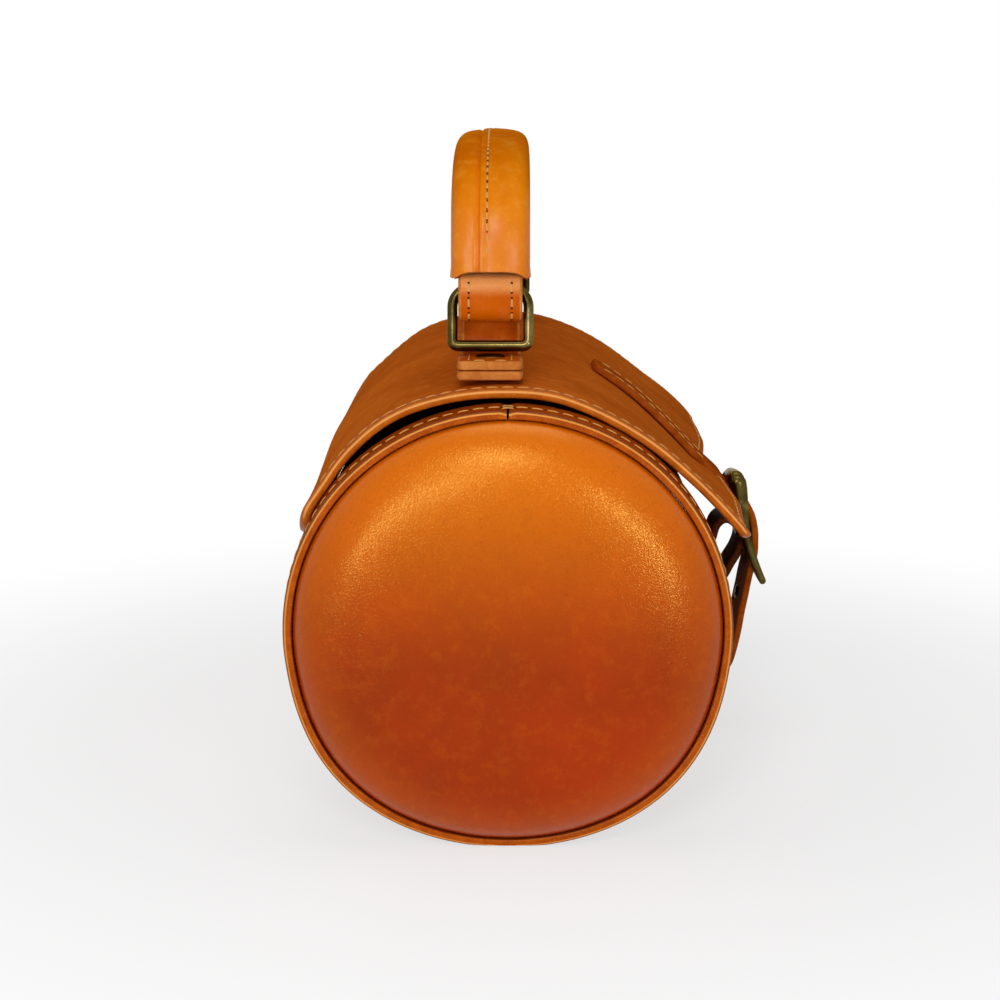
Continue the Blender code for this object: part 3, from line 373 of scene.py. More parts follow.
# Tones run from deep to light
looks = {
    # The round ends carry painted light: lighter towards the top and in a ring near the rim
    "panel": (leather, "panel_leather", dict(
        tones=((146, 24, 0), (178, 32, 0), (242, 124, 4)), glow=(axisZ - 0.016, axisZ + 0.076),
        glowShare=0.9, shoulder=(0.048, 0.064), shoulderShare=0.35, rimTone=(206, 88, 2),
        spots=0.09, wear=0.05, specular=0.62, rough=0.09, tint=(1.0, 0.70, 0.15, 1), coat=0.0,
        bump=0.10)),
    "body": (leather, "body_leather", dict(
        tones=((146, 56, 4), (178, 78, 10), (212, 112, 30)), specular=0.0, coat=0.0)),
    "lid": (leather, "lid_leather", dict(
        tones=((192, 90, 20), (222, 114, 34), (250, 158, 70)), rough=0.46, coat=0.0, specular=0.0,
        wear=0.06)),
    "handle": (leather, "handle_leather", dict(
        tones=((216, 108, 2), (240, 140, 12), (254, 180, 66)), rough=0.28, coat=0.6,
        coatBelow=(0.186, 0.207), specular=0.0, bump=0.12)),
    "strap": (leather, "strap_leather", dict(
        tones=((180, 70, 0), (214, 98, 4), (240, 138, 32)), specular=0.0, coat=0.12,
        coatBelow=(0.150, 0.176), rough=0.3)),
    "frontStrap": (leather, "frontStrap_leather", dict(
        tones=((164, 68, 6), (192, 90, 16), (220, 126, 44)), specular=0.0, coat=0.0)),
    # The tab's top fold is painted lighter: a painted highlight
    "tab": (leather, "tab_leather", dict(
        tones=((190, 76, 0), (220, 106, 4), (252, 176, 104)), glow=(0.1690, 0.1735), glowShare=0.7,
        specular=0.0, coat=0.1, rough=0.3, spots=0.1)),
    # Painted shade: the chape and its edges are coloured dark brown, as the chape sits in shade
    "chape": (leather, "chape_leather_painted_shade", dict(
        tones=((40, 16, 8), (64, 26, 10), (104, 46, 20)), rough=0.5, coat=0.0, specular=0.05)),
    "edge": (edgePaint, "painted_edge", dict(
        tones=((190, 108, 44), (218, 140, 70), (242, 176, 108)), specular=0.0)),
    # corner is the colour of painted shade and crown the colour of a painted highlight
    "lidEdge": (edgePaint, "painted_lid_edge", dict(
        tones=((176, 84, 14), (202, 104, 26), (232, 142, 54)), specular=0.12,
        corner=(128, 56, 8), crown=(250, 176, 96), turn=(0.0, 0.45), burnish=0.6)),
    "strapEdge": (edgePaint, "painted_strap_edge", dict(
        tones=((150, 66, 10), (178, 88, 24), (206, 120, 50)), specular=0.0)),
    # corner is the colour of painted shade and crown the colour of a painted highlight
    "rimEdge": (edgePaint, "painted_rim", dict(
        tones=((160, 66, 2), (188, 86, 8), (226, 128, 36)), specular=0.25,
        corner=(104, 38, 0), crown=(246, 164, 76), turn=(0.35, 0.90), burnish=0.85)),
    "chapeEdgeInShade": (edgePaint, "painted_chape_edge_shade", dict(
        tones=((64, 26, 10), (104, 48, 20), (150, 82, 40)), specular=0.05)),
    "hole": (edgePaint, "stitch_hole", dict(tones=((60, 22, 6), (84, 34, 10), (104, 48, 18)))),
    "suede": (suede, "lid_suede", dict(tones=((124, 60, 20), (172, 98, 44)))),
    "felt": (suede, "padding_felt", dict(tones=((196, 188, 168), (226, 220, 204)))),
    "cloth": (cloth, "lining_weave", dict(tones=((126, 92, 58), (176, 142, 98)), pitch=0.9 * mm)),
    "brass": (agedBrass, "aged_brass", dict(tones=((57, 49, 22), (108, 92, 47), (176, 156, 100)))),
    "rivet": (agedBrass, "rivet_brass", dict(tones=((79, 52, 22), (111, 80, 39), (144, 111, 59)))),
    "thread": (waxedThread, "waxed_thread", dict(
        tones=((212, 142, 60), (242, 192, 112)), pitch=0.32 * mm)),
    "steel": (brushed, "catch_steel", dict(tones=((120, 116, 108), (186, 182, 172)))),
}
paints = {key: make(Paint(name), look, *[rgb(tone) for tone in look["tones"]])
          for key, (make, name, look) in looks.items()}
print("materials ready")


# Shapes
def polar(radius, deg):
    return radius * cos(radians(deg)), radius * sin(radians(deg))


def onAxis(pair, y=0.0):
    # A point given across and up from the barrel's axis
    return Vector((axisX + pair[0], y, axisZ + pair[1]))


def arc(middle, radius, start, end, steps):
    turns = [radians(start + (end - start) * k / steps) for k in range(steps + 1)]
    return [(middle[0] + radius * cos(t), middle[1] + radius * sin(t)) for t in turns]


def ripple(a, b, c):
    return noise.noise(Vector((a, b, c)))


def settle(a, b, low=0.0):
    # The lower half spreads a little where the bag rests on the floor
    spread = 1 + barrel["spread"] * max(-b / rimRadius - barrel["spreadFrom"], 0) ** 1.6
    return a * spread, max(b, low - axisZ)


def shares(rows):
    return [(a * rimRadius, b * rimRadius) for a, b in rows]


def between(rows, place):
    for (a, low), (b, high) in zip(rows, rows[1:]):
        if place <= b:
            return low + (high - low) * max(place - a, 0) / (b - a)
    return rows[-1][1]


def easy(value, low, high):
    t = min(max((value - low) / (high - low), 0), 1)
    return t * t * (3 - 2 * t)


def smoothRows(rows, place):
    # Rows read through a soft window, so the bends stay round
    width = 2.2
    return sum(between(rows, place + k * width / 2) for k in (-2, -1, 0, 1, 2)) / 5


def addPiece(name, verts, faces, keys, which=None, sharp=45, weld=False):
    mesh = bpy.data.meshes.new(name)
    mesh.from_pydata([tuple(v) for v in verts], [], faces)
    for key in keys:
        mesh.materials.append(paints[key])
    if which:
        mesh.polygons.foreach_set("material_index", which)
    if sharp:
        work = bmesh.new()
        work.from_mesh(mesh)
        if weld:
            bmesh.ops.remove_doubles(work, verts=work.verts, dist=0.001 * mm)
        bmesh.ops.recalc_face_normals(work, faces=work.faces)
        work.to_mesh(mesh)
        work.free()
    mesh.shade_smooth()
    if sharp:
        mesh.set_sharp_from_angle(angle=radians(sharp))
    return addObject(name, mesh)


def bevelEdges(piece, width, segments, angle, sharp=45):
    change = piece.modifiers.new("round", "BEVEL")
    change.width = width
    change.segments = segments
    change.limit_method = "ANGLE"
    change.angle_limit = radians(angle)
    bpy.context.view_layer.update()
    graph = bpy.context.evaluated_depsgraph_get()
    mesh = bpy.data.meshes.new_from_object(piece.evaluated_get(graph))
    piece.modifiers.clear()
    piece.data = mesh
    mesh.shade_smooth()
    mesh.set_sharp_from_angle(angle=radians(sharp))


def quads(rings, count, closed=False, around=True, base=0):
    # Faces between rings of count points; closed joins the last ring to the first
    faces = []
    for i in range(rings if closed else rings - 1):
        one, two = base + i * count, base + (i + 1) % rings * count
        for k in range(count if around else count - 1):
            n = (k + 1) % count
            faces.append((one + k, one + n, two + n, two + k))
    return faces


def caps(rings, count):
    return [tuple(range(count)), tuple(range((rings - 1) * count, rings * count))]


def sheet(name, rows, columns, point, keys, edgeCells=0, sharp=45):
    # Two layers of a grid joined round their border; materials are face, edge and back
    wide, size = columns + 1, (rows + 1) * (columns + 1)
    verts = [point(layer, i / rows, j / columns)
             for layer in (0, 1) for i in range(rows + 1) for j in range(columns + 1)]
    faces, which = [], []
    for layer in (0, 1):
        for i in range(rows):
            for j in range(columns):
                k = layer * size + i * wide + j
                faces.append((k, k + 1, k + wide + 1, k + wide))
                onEdge = min(i, rows - 1 - i, j, columns - 1 - j) < edgeCells
                which.append(1 if onEdge else 2 * layer)
    border = [(i * wide + j, wide) for i in range(rows) for j in (0, columns)]
    border += [(i * wide + j, 1) for j in range(columns) for i in (0, rows)]
    faces += [(k, k + ahead, k + size + ahead, k + size) for k, ahead in border]
    return addPiece(name, verts, faces, keys, which + [1] * len(border), sharp)


def measure(path):
    lengths = [0.0]
    for a, b in zip(path, path[1:]):
        lengths.append(lengths[-1] + (b - a).length)
    return lengths


def pointAt(path, lengths, want):
    want = min(max(want, 0), lengths[-1])
    k = min(max(bisect_right(lengths, want) - 1, 0), len(path) - 2)
    span = lengths[k + 1] - lengths[k]
    return path[k].lerp(path[k + 1], (want - lengths[k]) / span if span else 0)


def direction(path, i, closed=False):
    if closed:
        return (path[(i + 1) % len(path)] - path[i - 1]).normalized()
    return (path[min(i + 1, len(path) - 1)] - path[max(i - 1, 0)]).normalized()


def softPath(points, perSpan=8):
    # A round curve through the points
    padded = [points[0]] + list(points) + [points[-1]]
    found = []
    for i in range(1, len(padded) - 2):
        a, b, c, d = padded[i - 1:i + 3]
        for k in range(perSpan):
            t = k / perSpan
            found.append(0.5 * (2 * b + (c - a) * t + (2 * a - 5 * b + 4 * c - d) * t ** 2
                                + (3 * b - a - 3 * c + d) * t ** 3))
    return found + [points[-1]]


def roundSection(half, thick, edge, steps):
    # Section of a strap, from its front face round to its near edge; thick is the whole thickness
    edge = min(edge, thick * 0.499, half * 0.9)
    points = []
    for a, b, start in ((1, 1, 0), (-1, 1, 90), (-1, -1, 180), (1, -1, 270)):
        points += arc((a * (half - edge), b * (thick / 2 - edge)), edge, start, start + 90, steps)
    return points


def makeStrap(name, path, across, size, keys, rounds=(0, 0), step=1.2 * mm, widthAt=None,
              closed=False):
    # A strap along the middle of its thickness; materials are face, edge and back
    edge = size["edge"]
    lengths = measure(path)
    total = lengths[-1]
    spans = max(round(total / step), 2)
    marks = [total * i / spans for i in range(spans + 1)]
    if not closed:
        for share in (0.08, 0.25, 0.5, 0.75, 1.0):
            marks += [edge * share, rounds[0] * share, total - edge * share, total - rounds[1] * share]
    marks = sorted(set(round(m, 7) for m in marks))
    if closed:
        marks = marks[:-1]
    look = 0.2 * mm if closed else 0.3 * mm

    def pathAt(m):
        return pointAt(path, lengths, m % total if closed else m)

    def shrink(size, away):
        return size - sqrt(max(size ** 2 - (size - away) ** 2, 0)) if size and away < size else 0

    steps = 3
    count = 4 * (steps + 1)
    verts, which = [], []
    for m in marks:
        point = pointAt(path, lengths, m)
        up = across.cross((pathAt(m + look) - pathAt(m - look)).normalized()).normalized()
        half = (widthAt(m, total) if widthAt else size["wide"]) / 2
        high = size["thick"]
        if not closed:
            startIn, endIn = shrink(edge, m), shrink(edge, total - m)
            half -= shrink(rounds[0], m) + shrink(rounds[1], total - m)
            high -= 2 * (startIn + endIn)
            half -= startIn * (not rounds[0]) + endIn * (not rounds[1])
        for a, b in roundSection(max(half, edge * 1.1), max(high, 0.2 * mm), edge, steps):
            verts.append(point + across * a + up * b)
    rings = len(marks)
    paintedEnd = edge * 0.9
    for i in range(rings if closed else rings - 1):
        atEnd = not closed and (marks[i] < paintedEnd or marks[i + 1] > total - paintedEnd)
        for k in range(count):
            corner, inCorner = divmod(k, steps + 1)
            which.append(1 if inCorner < steps or atEnd else (0, 1, 2, 1)[corner])
    faces = quads(rings, count, closed)
    if not closed:
        faces += caps(rings, count)
        which += [1, 1]
    return addPiece(name, verts, faces, keys, which, 60)


def makeStitches(name, rows, size):
    # rows hold (path, normals); threads lie on the surface and dive into a hole at both ends
    verts, faces, which = [], [], []
    profile = [(0.0, -1.2, 0.6), (0.08, -0.3, 0.9), (0.25, 0.15, 1.0), (0.5, 0.3, 1.0),
               (0.75, 0.15, 1.0), (0.92, -0.3, 0.9), (1.0, -1.2, 0.6)]
    sides, holeSides = 6, 8
    for path, normals in rows:
        lengths = measure(path)
        count = max(int(lengths[-1] / size["pitch"]), 1)
        pitch = lengths[-1] / count
        for i in range(count):
            start = pitch * i + (pitch - size["long"]) / 2
            a = pointAt(path, lengths, start)
            b = pointAt(path, lengths, start + size["long"])
            middle = pitch * (i + 0.5)
            k = min(range(len(lengths)), key=lambda j: abs(lengths[j] - middle))
            up = normals[k].normalized()
            ahead = (b - a).normalized()
            side = ahead.cross(up).normalized()
            base = len(verts)
            jitter = ripple(i * 1.7, base * 0.01, 0.5) * 0.12 * mm
            for share, lift, fat in profile:
                centre = a.lerp(b, share) + up * (lift * size["thick"]) + side * jitter
                for s in range(sides):
                    turn = 2 * pi * s / sides
                    verts.append(centre + (side * cos(turn) + up * sin(turn) * 0.8)
                                 * size["thick"] * fat)
            faces += quads(len(profile), sides, base=base)
            which += [0] * (len(profile) - 1) * sides
            for end, sign in ((a, -1), (b, 1)):
                base = len(verts)
                centre = end + side * jitter + up * 0.03 * mm + ahead * sign * size["thick"] * 0.3
                for s in range(holeSides):
                    turn = 2 * pi * s / holeSides
                    verts.append(centre + (side * cos(turn) + ahead * sin(turn)) * size["thick"] * 1.25)
                faces.append(tuple(range(base, base + holeSides)))
                which.append(1)
    return addPiece(name, verts, faces, ("thread", "hole"), which, 0)


def tube(path, radii, closed=False, squash=1.0, hint=sideways):
    # Verts and faces of a round bar along a path
    sides = 16
    verts = []
    for i, point in enumerate(path):
        along = direction(path, i, closed)
        side = along.cross(hint).normalized()
        up = side.cross(along).normalized()
        for s in range(sides):
            turn = 2 * pi * s / sides
            verts.append(point + side * cos(turn) * radii[i] + up * sin(turn) * radii[i] * squash)
    faces = quads(len(path), sides, closed)
    return verts, faces if closed else faces + caps(len(path), sides)


def roundBar(start, end, radius, crown):
    # A straight bar with rounded ends that can be thicker in its middle
    reach = radius * 0.6 / (end - start).length
    cap = [(reach * (1 - b), max(radius * a, 0.05 * mm)) for b, a in arc((0, 0), 1, 0, 90, 4)]
    marks = list(cap)
    for k in range(1, 9):
        t = reach + (1 - 2 * reach) * k / 9
        marks.append((t, radius + crown * sin(pi * t)))
    marks += [(1 - t, r) for t, r in cap[::-1]]
    return [start.lerp(end, t) for t, r in marks], [r for t, r in marks]


def lathe(name, profile, keys, steps, point, which, sharp):
    # Turns (radius, height) points; point places one at a turn
    verts = [point(radius, height, 2 * pi * i / steps) for i in range(steps)
             for radius, height in profile]
    faces = quads(steps, len(profile), True, False)
    return addPiece(name, verts, faces, keys, which * steps, sharp, True)


def give(piece, body, slot, replaces=True):
    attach(piece, body)
    if replaces:
        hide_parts(slot)


def sew(name, rows, body, slot, size=thread):
    give(makeStitches(name, rows, size), body, slot, False)


def middleOf(node):
    low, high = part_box(node)
    return low, high, (low[0] + high[0]) / 2, (low[1] + high[1]) / 2


# Barrel wall, lining and mouth stitches
def wallSheet(name, size, half, keys):
    start, end = barrel["mouthBack"], 360 + barrel["mouthFront"]

    def point(layer, down, along):
        deg = start + (end - start) * down
        y = -half + 2 * half * along
        across, up = polar(2, deg)
        swell = barrel["wobble"] * ripple(across, y * 14, up)
        proud = min(swell, barrel["proud"]) - barrel["proud"]
        a, b = polar(size["radius"] - layer * size["wall"] + proud, deg)
        return onAxis(settle(a, b, barrel["floorGap"] + layer * size["wall"]), y)

    return sheet(name, barrel["rows"], barrel["columns"], point, keys, 0, 50)


def makeBarrel():
    half = rimInside - seat
    wall = wallSheet("barrelWall", barrel, half, ("body", "edge", "suede"))
    bevelEdges(wall, barrel["bevel"], 2, 60)
    give(wall, "bag", "barrel_shell")
    give(wallSheet("barrelLining", lining, half, ("cloth",) * 3), "bag", "barrel_lining")
    rows = []
    for deg in (barrel["mouthFront"] - barrel["stitch"], barrel["mouthBack"] + barrel["stitch"]):
        place = polar(barrel["radius"] - 0.1 * mm, deg)
        path = [onAxis(place, y * half * 0.98 / 60) for y in range(-60, 61)]
        rows.append((path, [onAxis(polar(1, deg)) - onAxis((0, 0))] * len(path)))
    sew("mouthStitches", rows, "bag", "barrel_shell")


def endPlace(side, a, b, h):
    # A point of a round end, h outwards from the rim's face
    a, b = settle(a, b)
    return Vector((axisX + a, side * (rimEnd + h), axisZ + b))


def makeRim(side, label):
    outer, inner = rimRadius, rimRadius - rim["depth"]
    wide = rimEnd - rimInside
    front, back = outer + rim["front"], outer + rim["back"]
    edge, soft = rim["outerRound"], rim["innerRound"]
    section = [(inner, -wide), (inner, -soft)]
    section += arc((inner + soft, -soft), soft, 150, 90, 2)
    section += arc((front - edge, -edge), edge, 90, 0, 5)
    section += [((front + back) / 2, -wide * 0.5), (back, -wide + 0.5 * mm), (back - 0.5 * mm, -wide)]
    # The section's first points of the outer corner and of the back, and how many points are painted
    outerFrom, backFrom, painted = 5, 11, 9
    slit = degrees(rim["slit"] / outer)

    def lowered(turn):
        # The back edge stands proud only under the lid
        return (rim["back"] - rim["backLow"]) * (1 - easy(sin(turn), 0.15, 0.8))

    steps = 200
    verts = []
    for i in range(steps + 1):
        turn = radians(90 + slit + (360 - 2 * slit) * i / steps)
        near = min(i, steps - i) / steps * 2 * pi * outer
        pinch = rim["pinch"] * max(1 - near / rim["pinchReach"], 0)
        for k, (r, h) in enumerate(section):
            r += rim["wobble"] * ripple(cos(turn) * 2, sin(turn) * 2, side)
            if k >= backFrom:
                r -= lowered(turn) * (0.5 if k == backFrom else 1)
            if k >= outerFrom:
                r -= pinch
                h -= pinch * 0.4 * (h > -wide * 0.4)
            verts.append(endPlace(side, r * cos(turn), r * sin(turn), h))
    count = len(section)
    faces = quads(steps + 1, count) + caps(steps + 1, count)
    marks = ([1] * painted + [0] * (count - painted)) * steps + [1, 1]
    node = "end_binding_" + label.lower()
    give(addPiece("rim" + label, verts, faces, ("body", "rimEdge"), marks, 50), "bag", node)
    path, normals = [], []
    slope = (back - front) / wide
    for i in range(241):
        # All round but for the join at the top
        turn = radians(91.5 + 357 * i / 240)
        high = front + slope * rim["stitch"] - lowered(turn) * rim["stitch"] / wide
        path.append(endPlace(side, high * cos(turn), high * sin(turn), -rim["stitch"]))
        normals.append(Vector((cos(turn), side * 0.18, sin(turn))))
    rows = [(path, normals)]
    for deep in rim["joinStitches"]:
        high = front + slope * deep - 0.1 * mm
        rows.append(([endPlace(side, k * mm, high, -deep) for k in (-2.3, 0, 2.3)], [upward] * 3))
    sew("rimStitches" + label, rows, "bag", node)


def makePanel(side, label):
    size, rise, wall = panel["radius"], panel["rise"], panel["wall"]
    count = 40
    across = [sin(pi / 2 * i / count) for i in range(count + 1)]
    profile = [(size * share, rise * max(1 - share ** panel["square"], 0) ** panel["dome"]
                - panel["setBack"]) for share in across]
    profile += [(size, -3 * mm), (size, -6 * mm), (size - wall, -6 * mm), (size - wall, -2.5 * mm)]
    profile += [(size * 0.9, rise * 0.35 - wall), (size * 0.6, rise * 0.8 - wall),
                (0, rise - wall - panel["setBack"])]

    def point(radius, height, turn):
        share = radius / size
        if height > -2 * mm:
            puff = ripple(cos(turn) * share * 2.2, sin(turn) * share * 2.2, 3.0 * side)
            tight = ripple(cos(turn) * 9, sin(turn) * 9, 7.0) * panel["tight"]
            tight *= easy(share, 0.80, 0.95) * (1 - easy(share, 0.985, 1.0))
            height += puff * panel["puff"] * (1 - easy(share, 0.88, 1.0)) + tight
        return endPlace(side, radius * cos(turn), radius * sin(turn), height)

    made = lathe("endPanel" + label, profile, ("panel", "cloth"), panel["steps"], point,
                 [0] * (count + 3) + [1] * 4, 40)
    give(made, "bag", "end_panel_" + label.lower())


# Lid with its sewn back edge, one sheet of leather
def lidRadius(deg, y):
    sag = lid["sag"] * smoothRows(sagRows, deg) * (1 - min(abs(y / lid["half"]), 1) ** 3)
    return rimRadius * smoothRows(lidRows, deg) - sag


def lidHalf(deg, inset=0.0):
    perDeg = radians(1) * rimRadius * lidRows[0][1]
    half = lid["half"] - inset
    for edge, turn, reach in ((lid["front"], lid["frontTurn"], lid["frontReach"]),
                              (lid["back"], lid["backTurn"], lid["backReach"])):
        away = abs(deg - edge) - inset / perDeg
        turn -= inset / perDeg
        if away < turn:
            return half - (reach - inset) * (1 - sqrt(max(1 - (1 - max(away, 0) / turn) ** 2, 0)))
    return half


def lidDepth(deg):
    return lid["thick"] + (lid["backThick"] - lid["thick"]) * easy(deg, 146, 152)


def lidEdgeDrop(deg, half, y):
    # How far the half round edge falls away from either face
    radius = lidDepth(deg) / 2 - 0.05 * mm
    perDeg = radians(1) * rimRadius * 1.12
    away = min(half - abs(y), (deg - lid["front"]) * perDeg, (lid["back"] - deg) * perDeg)
    return radius - sqrt(max(radius ** 2 - max(radius - away, 0) ** 2, 0))


def lidSurface(deg, y, depth=0.0):
    farShare = easy(y, *bulgeFade) * (1 - bulgeEndShare * easy(y, *bulgeEnd))
    nearShare = easy(-y, *nearBulgeFade) * (1 - easy(-y, *nearBulgeEnd))
    radius = lidRadius(deg, y) - depth
    radius -= smoothRows(nearRows, deg) * mm * easy(-y, *nearFade)
    radius -= smoothRows(farRows, deg) * mm * easy(y, *farFade)
    radius += lid["bulge"] * smoothRows(bulgeRows, deg) * farShare
    radius += lid["nearBulge"] * smoothRows(nearBulgeRows, deg) * nearShare
    radius += lid["wobble"] * ripple(deg * 0.05, y * 16, 1.7) * easy(152 - deg, 0, 12)
    return onAxis(polar(radius, deg), y)


def makeLid():
    front, back = lid["front"], lid["back"]

    def point(layer, down, across):
        deg = front + (back - front) * (down - 0.8 * sin(2 * pi * down) / (2 * pi))
        half = lidHalf(deg)
        y = half * sin(pi / 2 * (2 * across - 1))
        drop = lidEdgeDrop(deg, half, y)
        return lidSurface(deg, y, lidDepth(deg) - drop if layer else drop)

    made = sheet("lidLeather", lid["rows"], lid["columns"], point, ("lid", "lidEdge", "suede"),
                 lid["edgeCells"])
    onAxis(polar(0.074, 151.5))
    onAxis(polar(0.074, 142))
    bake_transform(made)
    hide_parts("lid", "lid_lining", "lid_back_band")


def lidStitchRows():
    # Down the near end, along the front edge and up the far end
    inset, high, steps, across = lid["stitch"], lid["stitchTop"], 150, 120
    low = lid["front"] + inset / (radians(1) * rimRadius * lidRows[0][1])
    half = lidHalf(low, inset)
    places = [(high + (low - high) * i / steps, -1) for i in range(steps + 1)]
    places = [(deg, side * lidHalf(deg, inset)) for deg, side in places]
    places += [(low, -half + 2 * half * i / across) for i in range(1, across)]
    for i in range(steps + 1):
        deg = low + (high - low) * i / steps
        places.append((deg, lidHalf(deg, inset)))
    path, normals = [], []
    for deg, y in places:
        point = lidSurface(deg, y, -onFace)
        one = lidSurface(deg + 0.5, y) - lidSurface(deg - 0.5, y)
        two = lidSurface(deg, y + 0.5 * mm) - lidSurface(deg, y - 0.5 * mm)
        normal = two.cross(one).normalized()
        path.append(point)
        normals.append(normal if normal.dot(point - onAxis((0, 0), y)) > 0 else -normal)
    return [(path, normals)]


def backStitchRows():
    rows = []
    for deg in lid["backStitches"]:
        half = lidHalf(deg) - 5 * mm
        path = [lidSurface(deg, -half + 2 * half * i / 120, -onFace) for i in range(121)]
        rows.append((path, [onAxis(polar(1, deg)) - onAxis((0, 0))] * len(path)))
    return rows


# Front strap: sewn to the lid, then free, threaded through the slide
def makeFrontStrap():
    onLid = []
    for i in range(0, 46, 3):
        deg = strap["start"] + (strap["hinge"] - strap["start"]) * i / 45
        onLid.append(onAxis(polar(lidRadius(deg, 12 * mm) + seat + strap["thick"], deg)))
    outer = softPath(onLid + [onAxis(pair) for pair in shares(strapRows)], 5)
    bend = len(onLid) * 5
    outward = [direction(outer, i).cross(sideways).normalized() for i in range(len(outer))]
    middle = [p - out * (strap["thick"] / 2) for p, out in zip(outer, outward)]
    made = makeStrap("frontStrap", middle[::-1], sideways, strap,
                     ("frontStrap", "strapEdge", "suede"), (strap["tipRound"], strap["startRound"]))
    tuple(outer[bend - 9])
    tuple(outer[bend - 2])
    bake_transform(made)
    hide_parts("strap_top", "strap_end")
    for name, body, slot, low, high in (
            ("strapStitchesLid", "lid", "strap_top", 4, bend - 12),
            ("strapStitchesEnd", "closure", "strap_end", bend + 26, len(outer) - 8)):
        part = outer[low:high]
        normals = [direction(part, i).cross(sideways).normalized() for i in range(len(part))]
        sew(name, [([p + sideways * side * strap["stitch"] for p in part], normals)
                   for side in (-1, 1)], body, slot)


def makeSlide():
    # Cast frame: thick head, slim sides and a thin tip, with a bar across its middle
    bow = softPath([onAxis(pair) for pair in shares(slideRows)], 6)
    lengths = measure(bow)
    marks = [length / lengths[-1] for length in lengths]
    farDrop = (bow[4] - bow[0]).normalized() * slide["farDrop"]
    pieces = []
    for side in (-1, 1):
        radii = []
        for share in marks:
            slim = easy(share, 0.05, 0.42)
            radii.append(slide["head"] * (1 - slim) + slide["side"] * slim
                         - slide["thinner"] * easy(share, 0.62, 1.0))
        path = [p + sideways * side * slide["half"] for p in bow]
        if side > 0:
            path = [p + farDrop * (1 - easy(share, 0.0, 0.45)) for p, share in zip(path, marks)]
            radii = [r * slide["farShare"] for r in radii]
        first, last = (path[0] - path[1]).normalized(), (path[-1] - path[-2]).normalized()
        path = ([path[0] + first * 1.6 * mm, path[0] + first * 1.2 * mm] + path
                + [path[-1] + last * 0.7 * mm])
        radii = [0.4 * mm, 1.6 * mm, 2.9 * mm] + radii[1:-1] + [1.0 * mm, 0.4 * mm]
        pieces.append(tube(path, radii, squash=slide["flat"]))
    reach = sideways * slide["half"]
    bar = onAxis(shares([barRow])[0])
    for middle, bulk in ((bow[0], "headBar"), (bar, "middleBar"), (bow[-1], "tipBar")):
        head = bulk == "headBar"
        path, radii = roundBar(middle - reach, middle + reach + farDrop * head, *slide[bulk])
        if head:
            radii = [r * (1 - 0.35 * easy(k / len(radii), 0.2, 1)) for k, r in enumerate(radii)]
        pieces.append(tube(path, radii, hint=upward))
    verts, faces = [], []
    for more, moreFaces in pieces:
        faces += [tuple(v + len(verts) for v in face) for face in moreFaces]
        verts += more
    give(addPiece("slideCasting", verts, faces, ("brass",), None, 70), "closure", "slide_frame")


def makeChape():
    points = [polar(chape["foot"], deg) for deg in (-17, -11, -5, 0, 3)] + shares(upperLeg)
    points += arc(shares([barRow])[0], chape["loop"], 120, -70, 12) + shares(lowerLeg)
    points += [polar(chape["tail"], deg) for deg in (-12, -17)]
    path = softPath([onAxis(pair) for pair in points], 5)
    made = makeStrap("slideChape", path, sideways, chape, ("chape", "chapeEdgeInShade", "chape"))
    give(made, "closure", "slide_chape")


# Handle
def handleLine(count=72):
    rise = handle["top"] - handle["mouth"]
    power = 2 / handle["bend"]
    points = []
    for i in range(241):
        t = pi - pi * i / 240
        y = handle["leg"] * abs(cos(t)) ** power * (-1 if t > pi / 2 else 1)
        points.append(Vector((handleX, y, handle["mouth"] + rise * max(sin(t), 0) ** power)))
    lengths = measure(points)
    return [pointAt(points, lengths, lengths[-1] * i / count) for i in range(count + 1)]


def outwardOf(line, i):
    along = direction(line, i)
    return Vector((0, -along.z, along.y)).normalized()


def rollSection(wide, deep, count, seam=None):
    # Rounded section of the roll; the points at seam are set close together for its step
    power = 2 / handle["corner"]
    points = []
    for i in range(count):
        t = 2 * pi * i / count
        c, s = cos(t), sin(t)
        points.append((wide * abs(c) ** power * (1 if c >= 0 else -1),
                       deep * abs(s) ** power * (1 if s >= 0 else -1)))
    if seam is None:
        return points
    flat = [seam + k * mm for k in (-2.0, -1.0, -0.5, -0.15, 0.02, 0.15, 0.45, 1.0, 1.7, 2.2, 2.7, 3.4)]
    low, high = flat[0] - 0.4 * mm, flat[-1] + 0.4 * mm
    points = [p for p in points if not (p[1] > 0 and low < p[0] < high)]
    points += [(a, deep * (1 - min(abs(a) / wide, 1) ** handle["corner"]) ** (1 / handle["corner"]))
               for a in flat]
    return sorted(points, key=lambda p: atan2(p[1], p[0]) % (2 * pi))


def seamLift(a, b):
    # The upper layer ends at the seam; the lower one starts a step under it
    seam = handle["seam"]
    if a > seam:
        lift = handle["overlap"] * (1 - easy(a, seam + 3 * mm, seam + 12 * mm))
        lift -= 0.25 * mm * (1 - easy(a, seam, seam + 0.8 * mm))
        lift -= 0.22 * mm * (1 - easy(abs(a - seam - handle["stitch"]), 0.3 * mm, 1.1 * mm))
    else:
        lift = -0.7 * mm * (1 - easy(seam - a, 0.2 * mm, 1.8 * mm))
    return lift * easy(b, handle["deep"] * 0.4, handle["deep"] * 0.85)


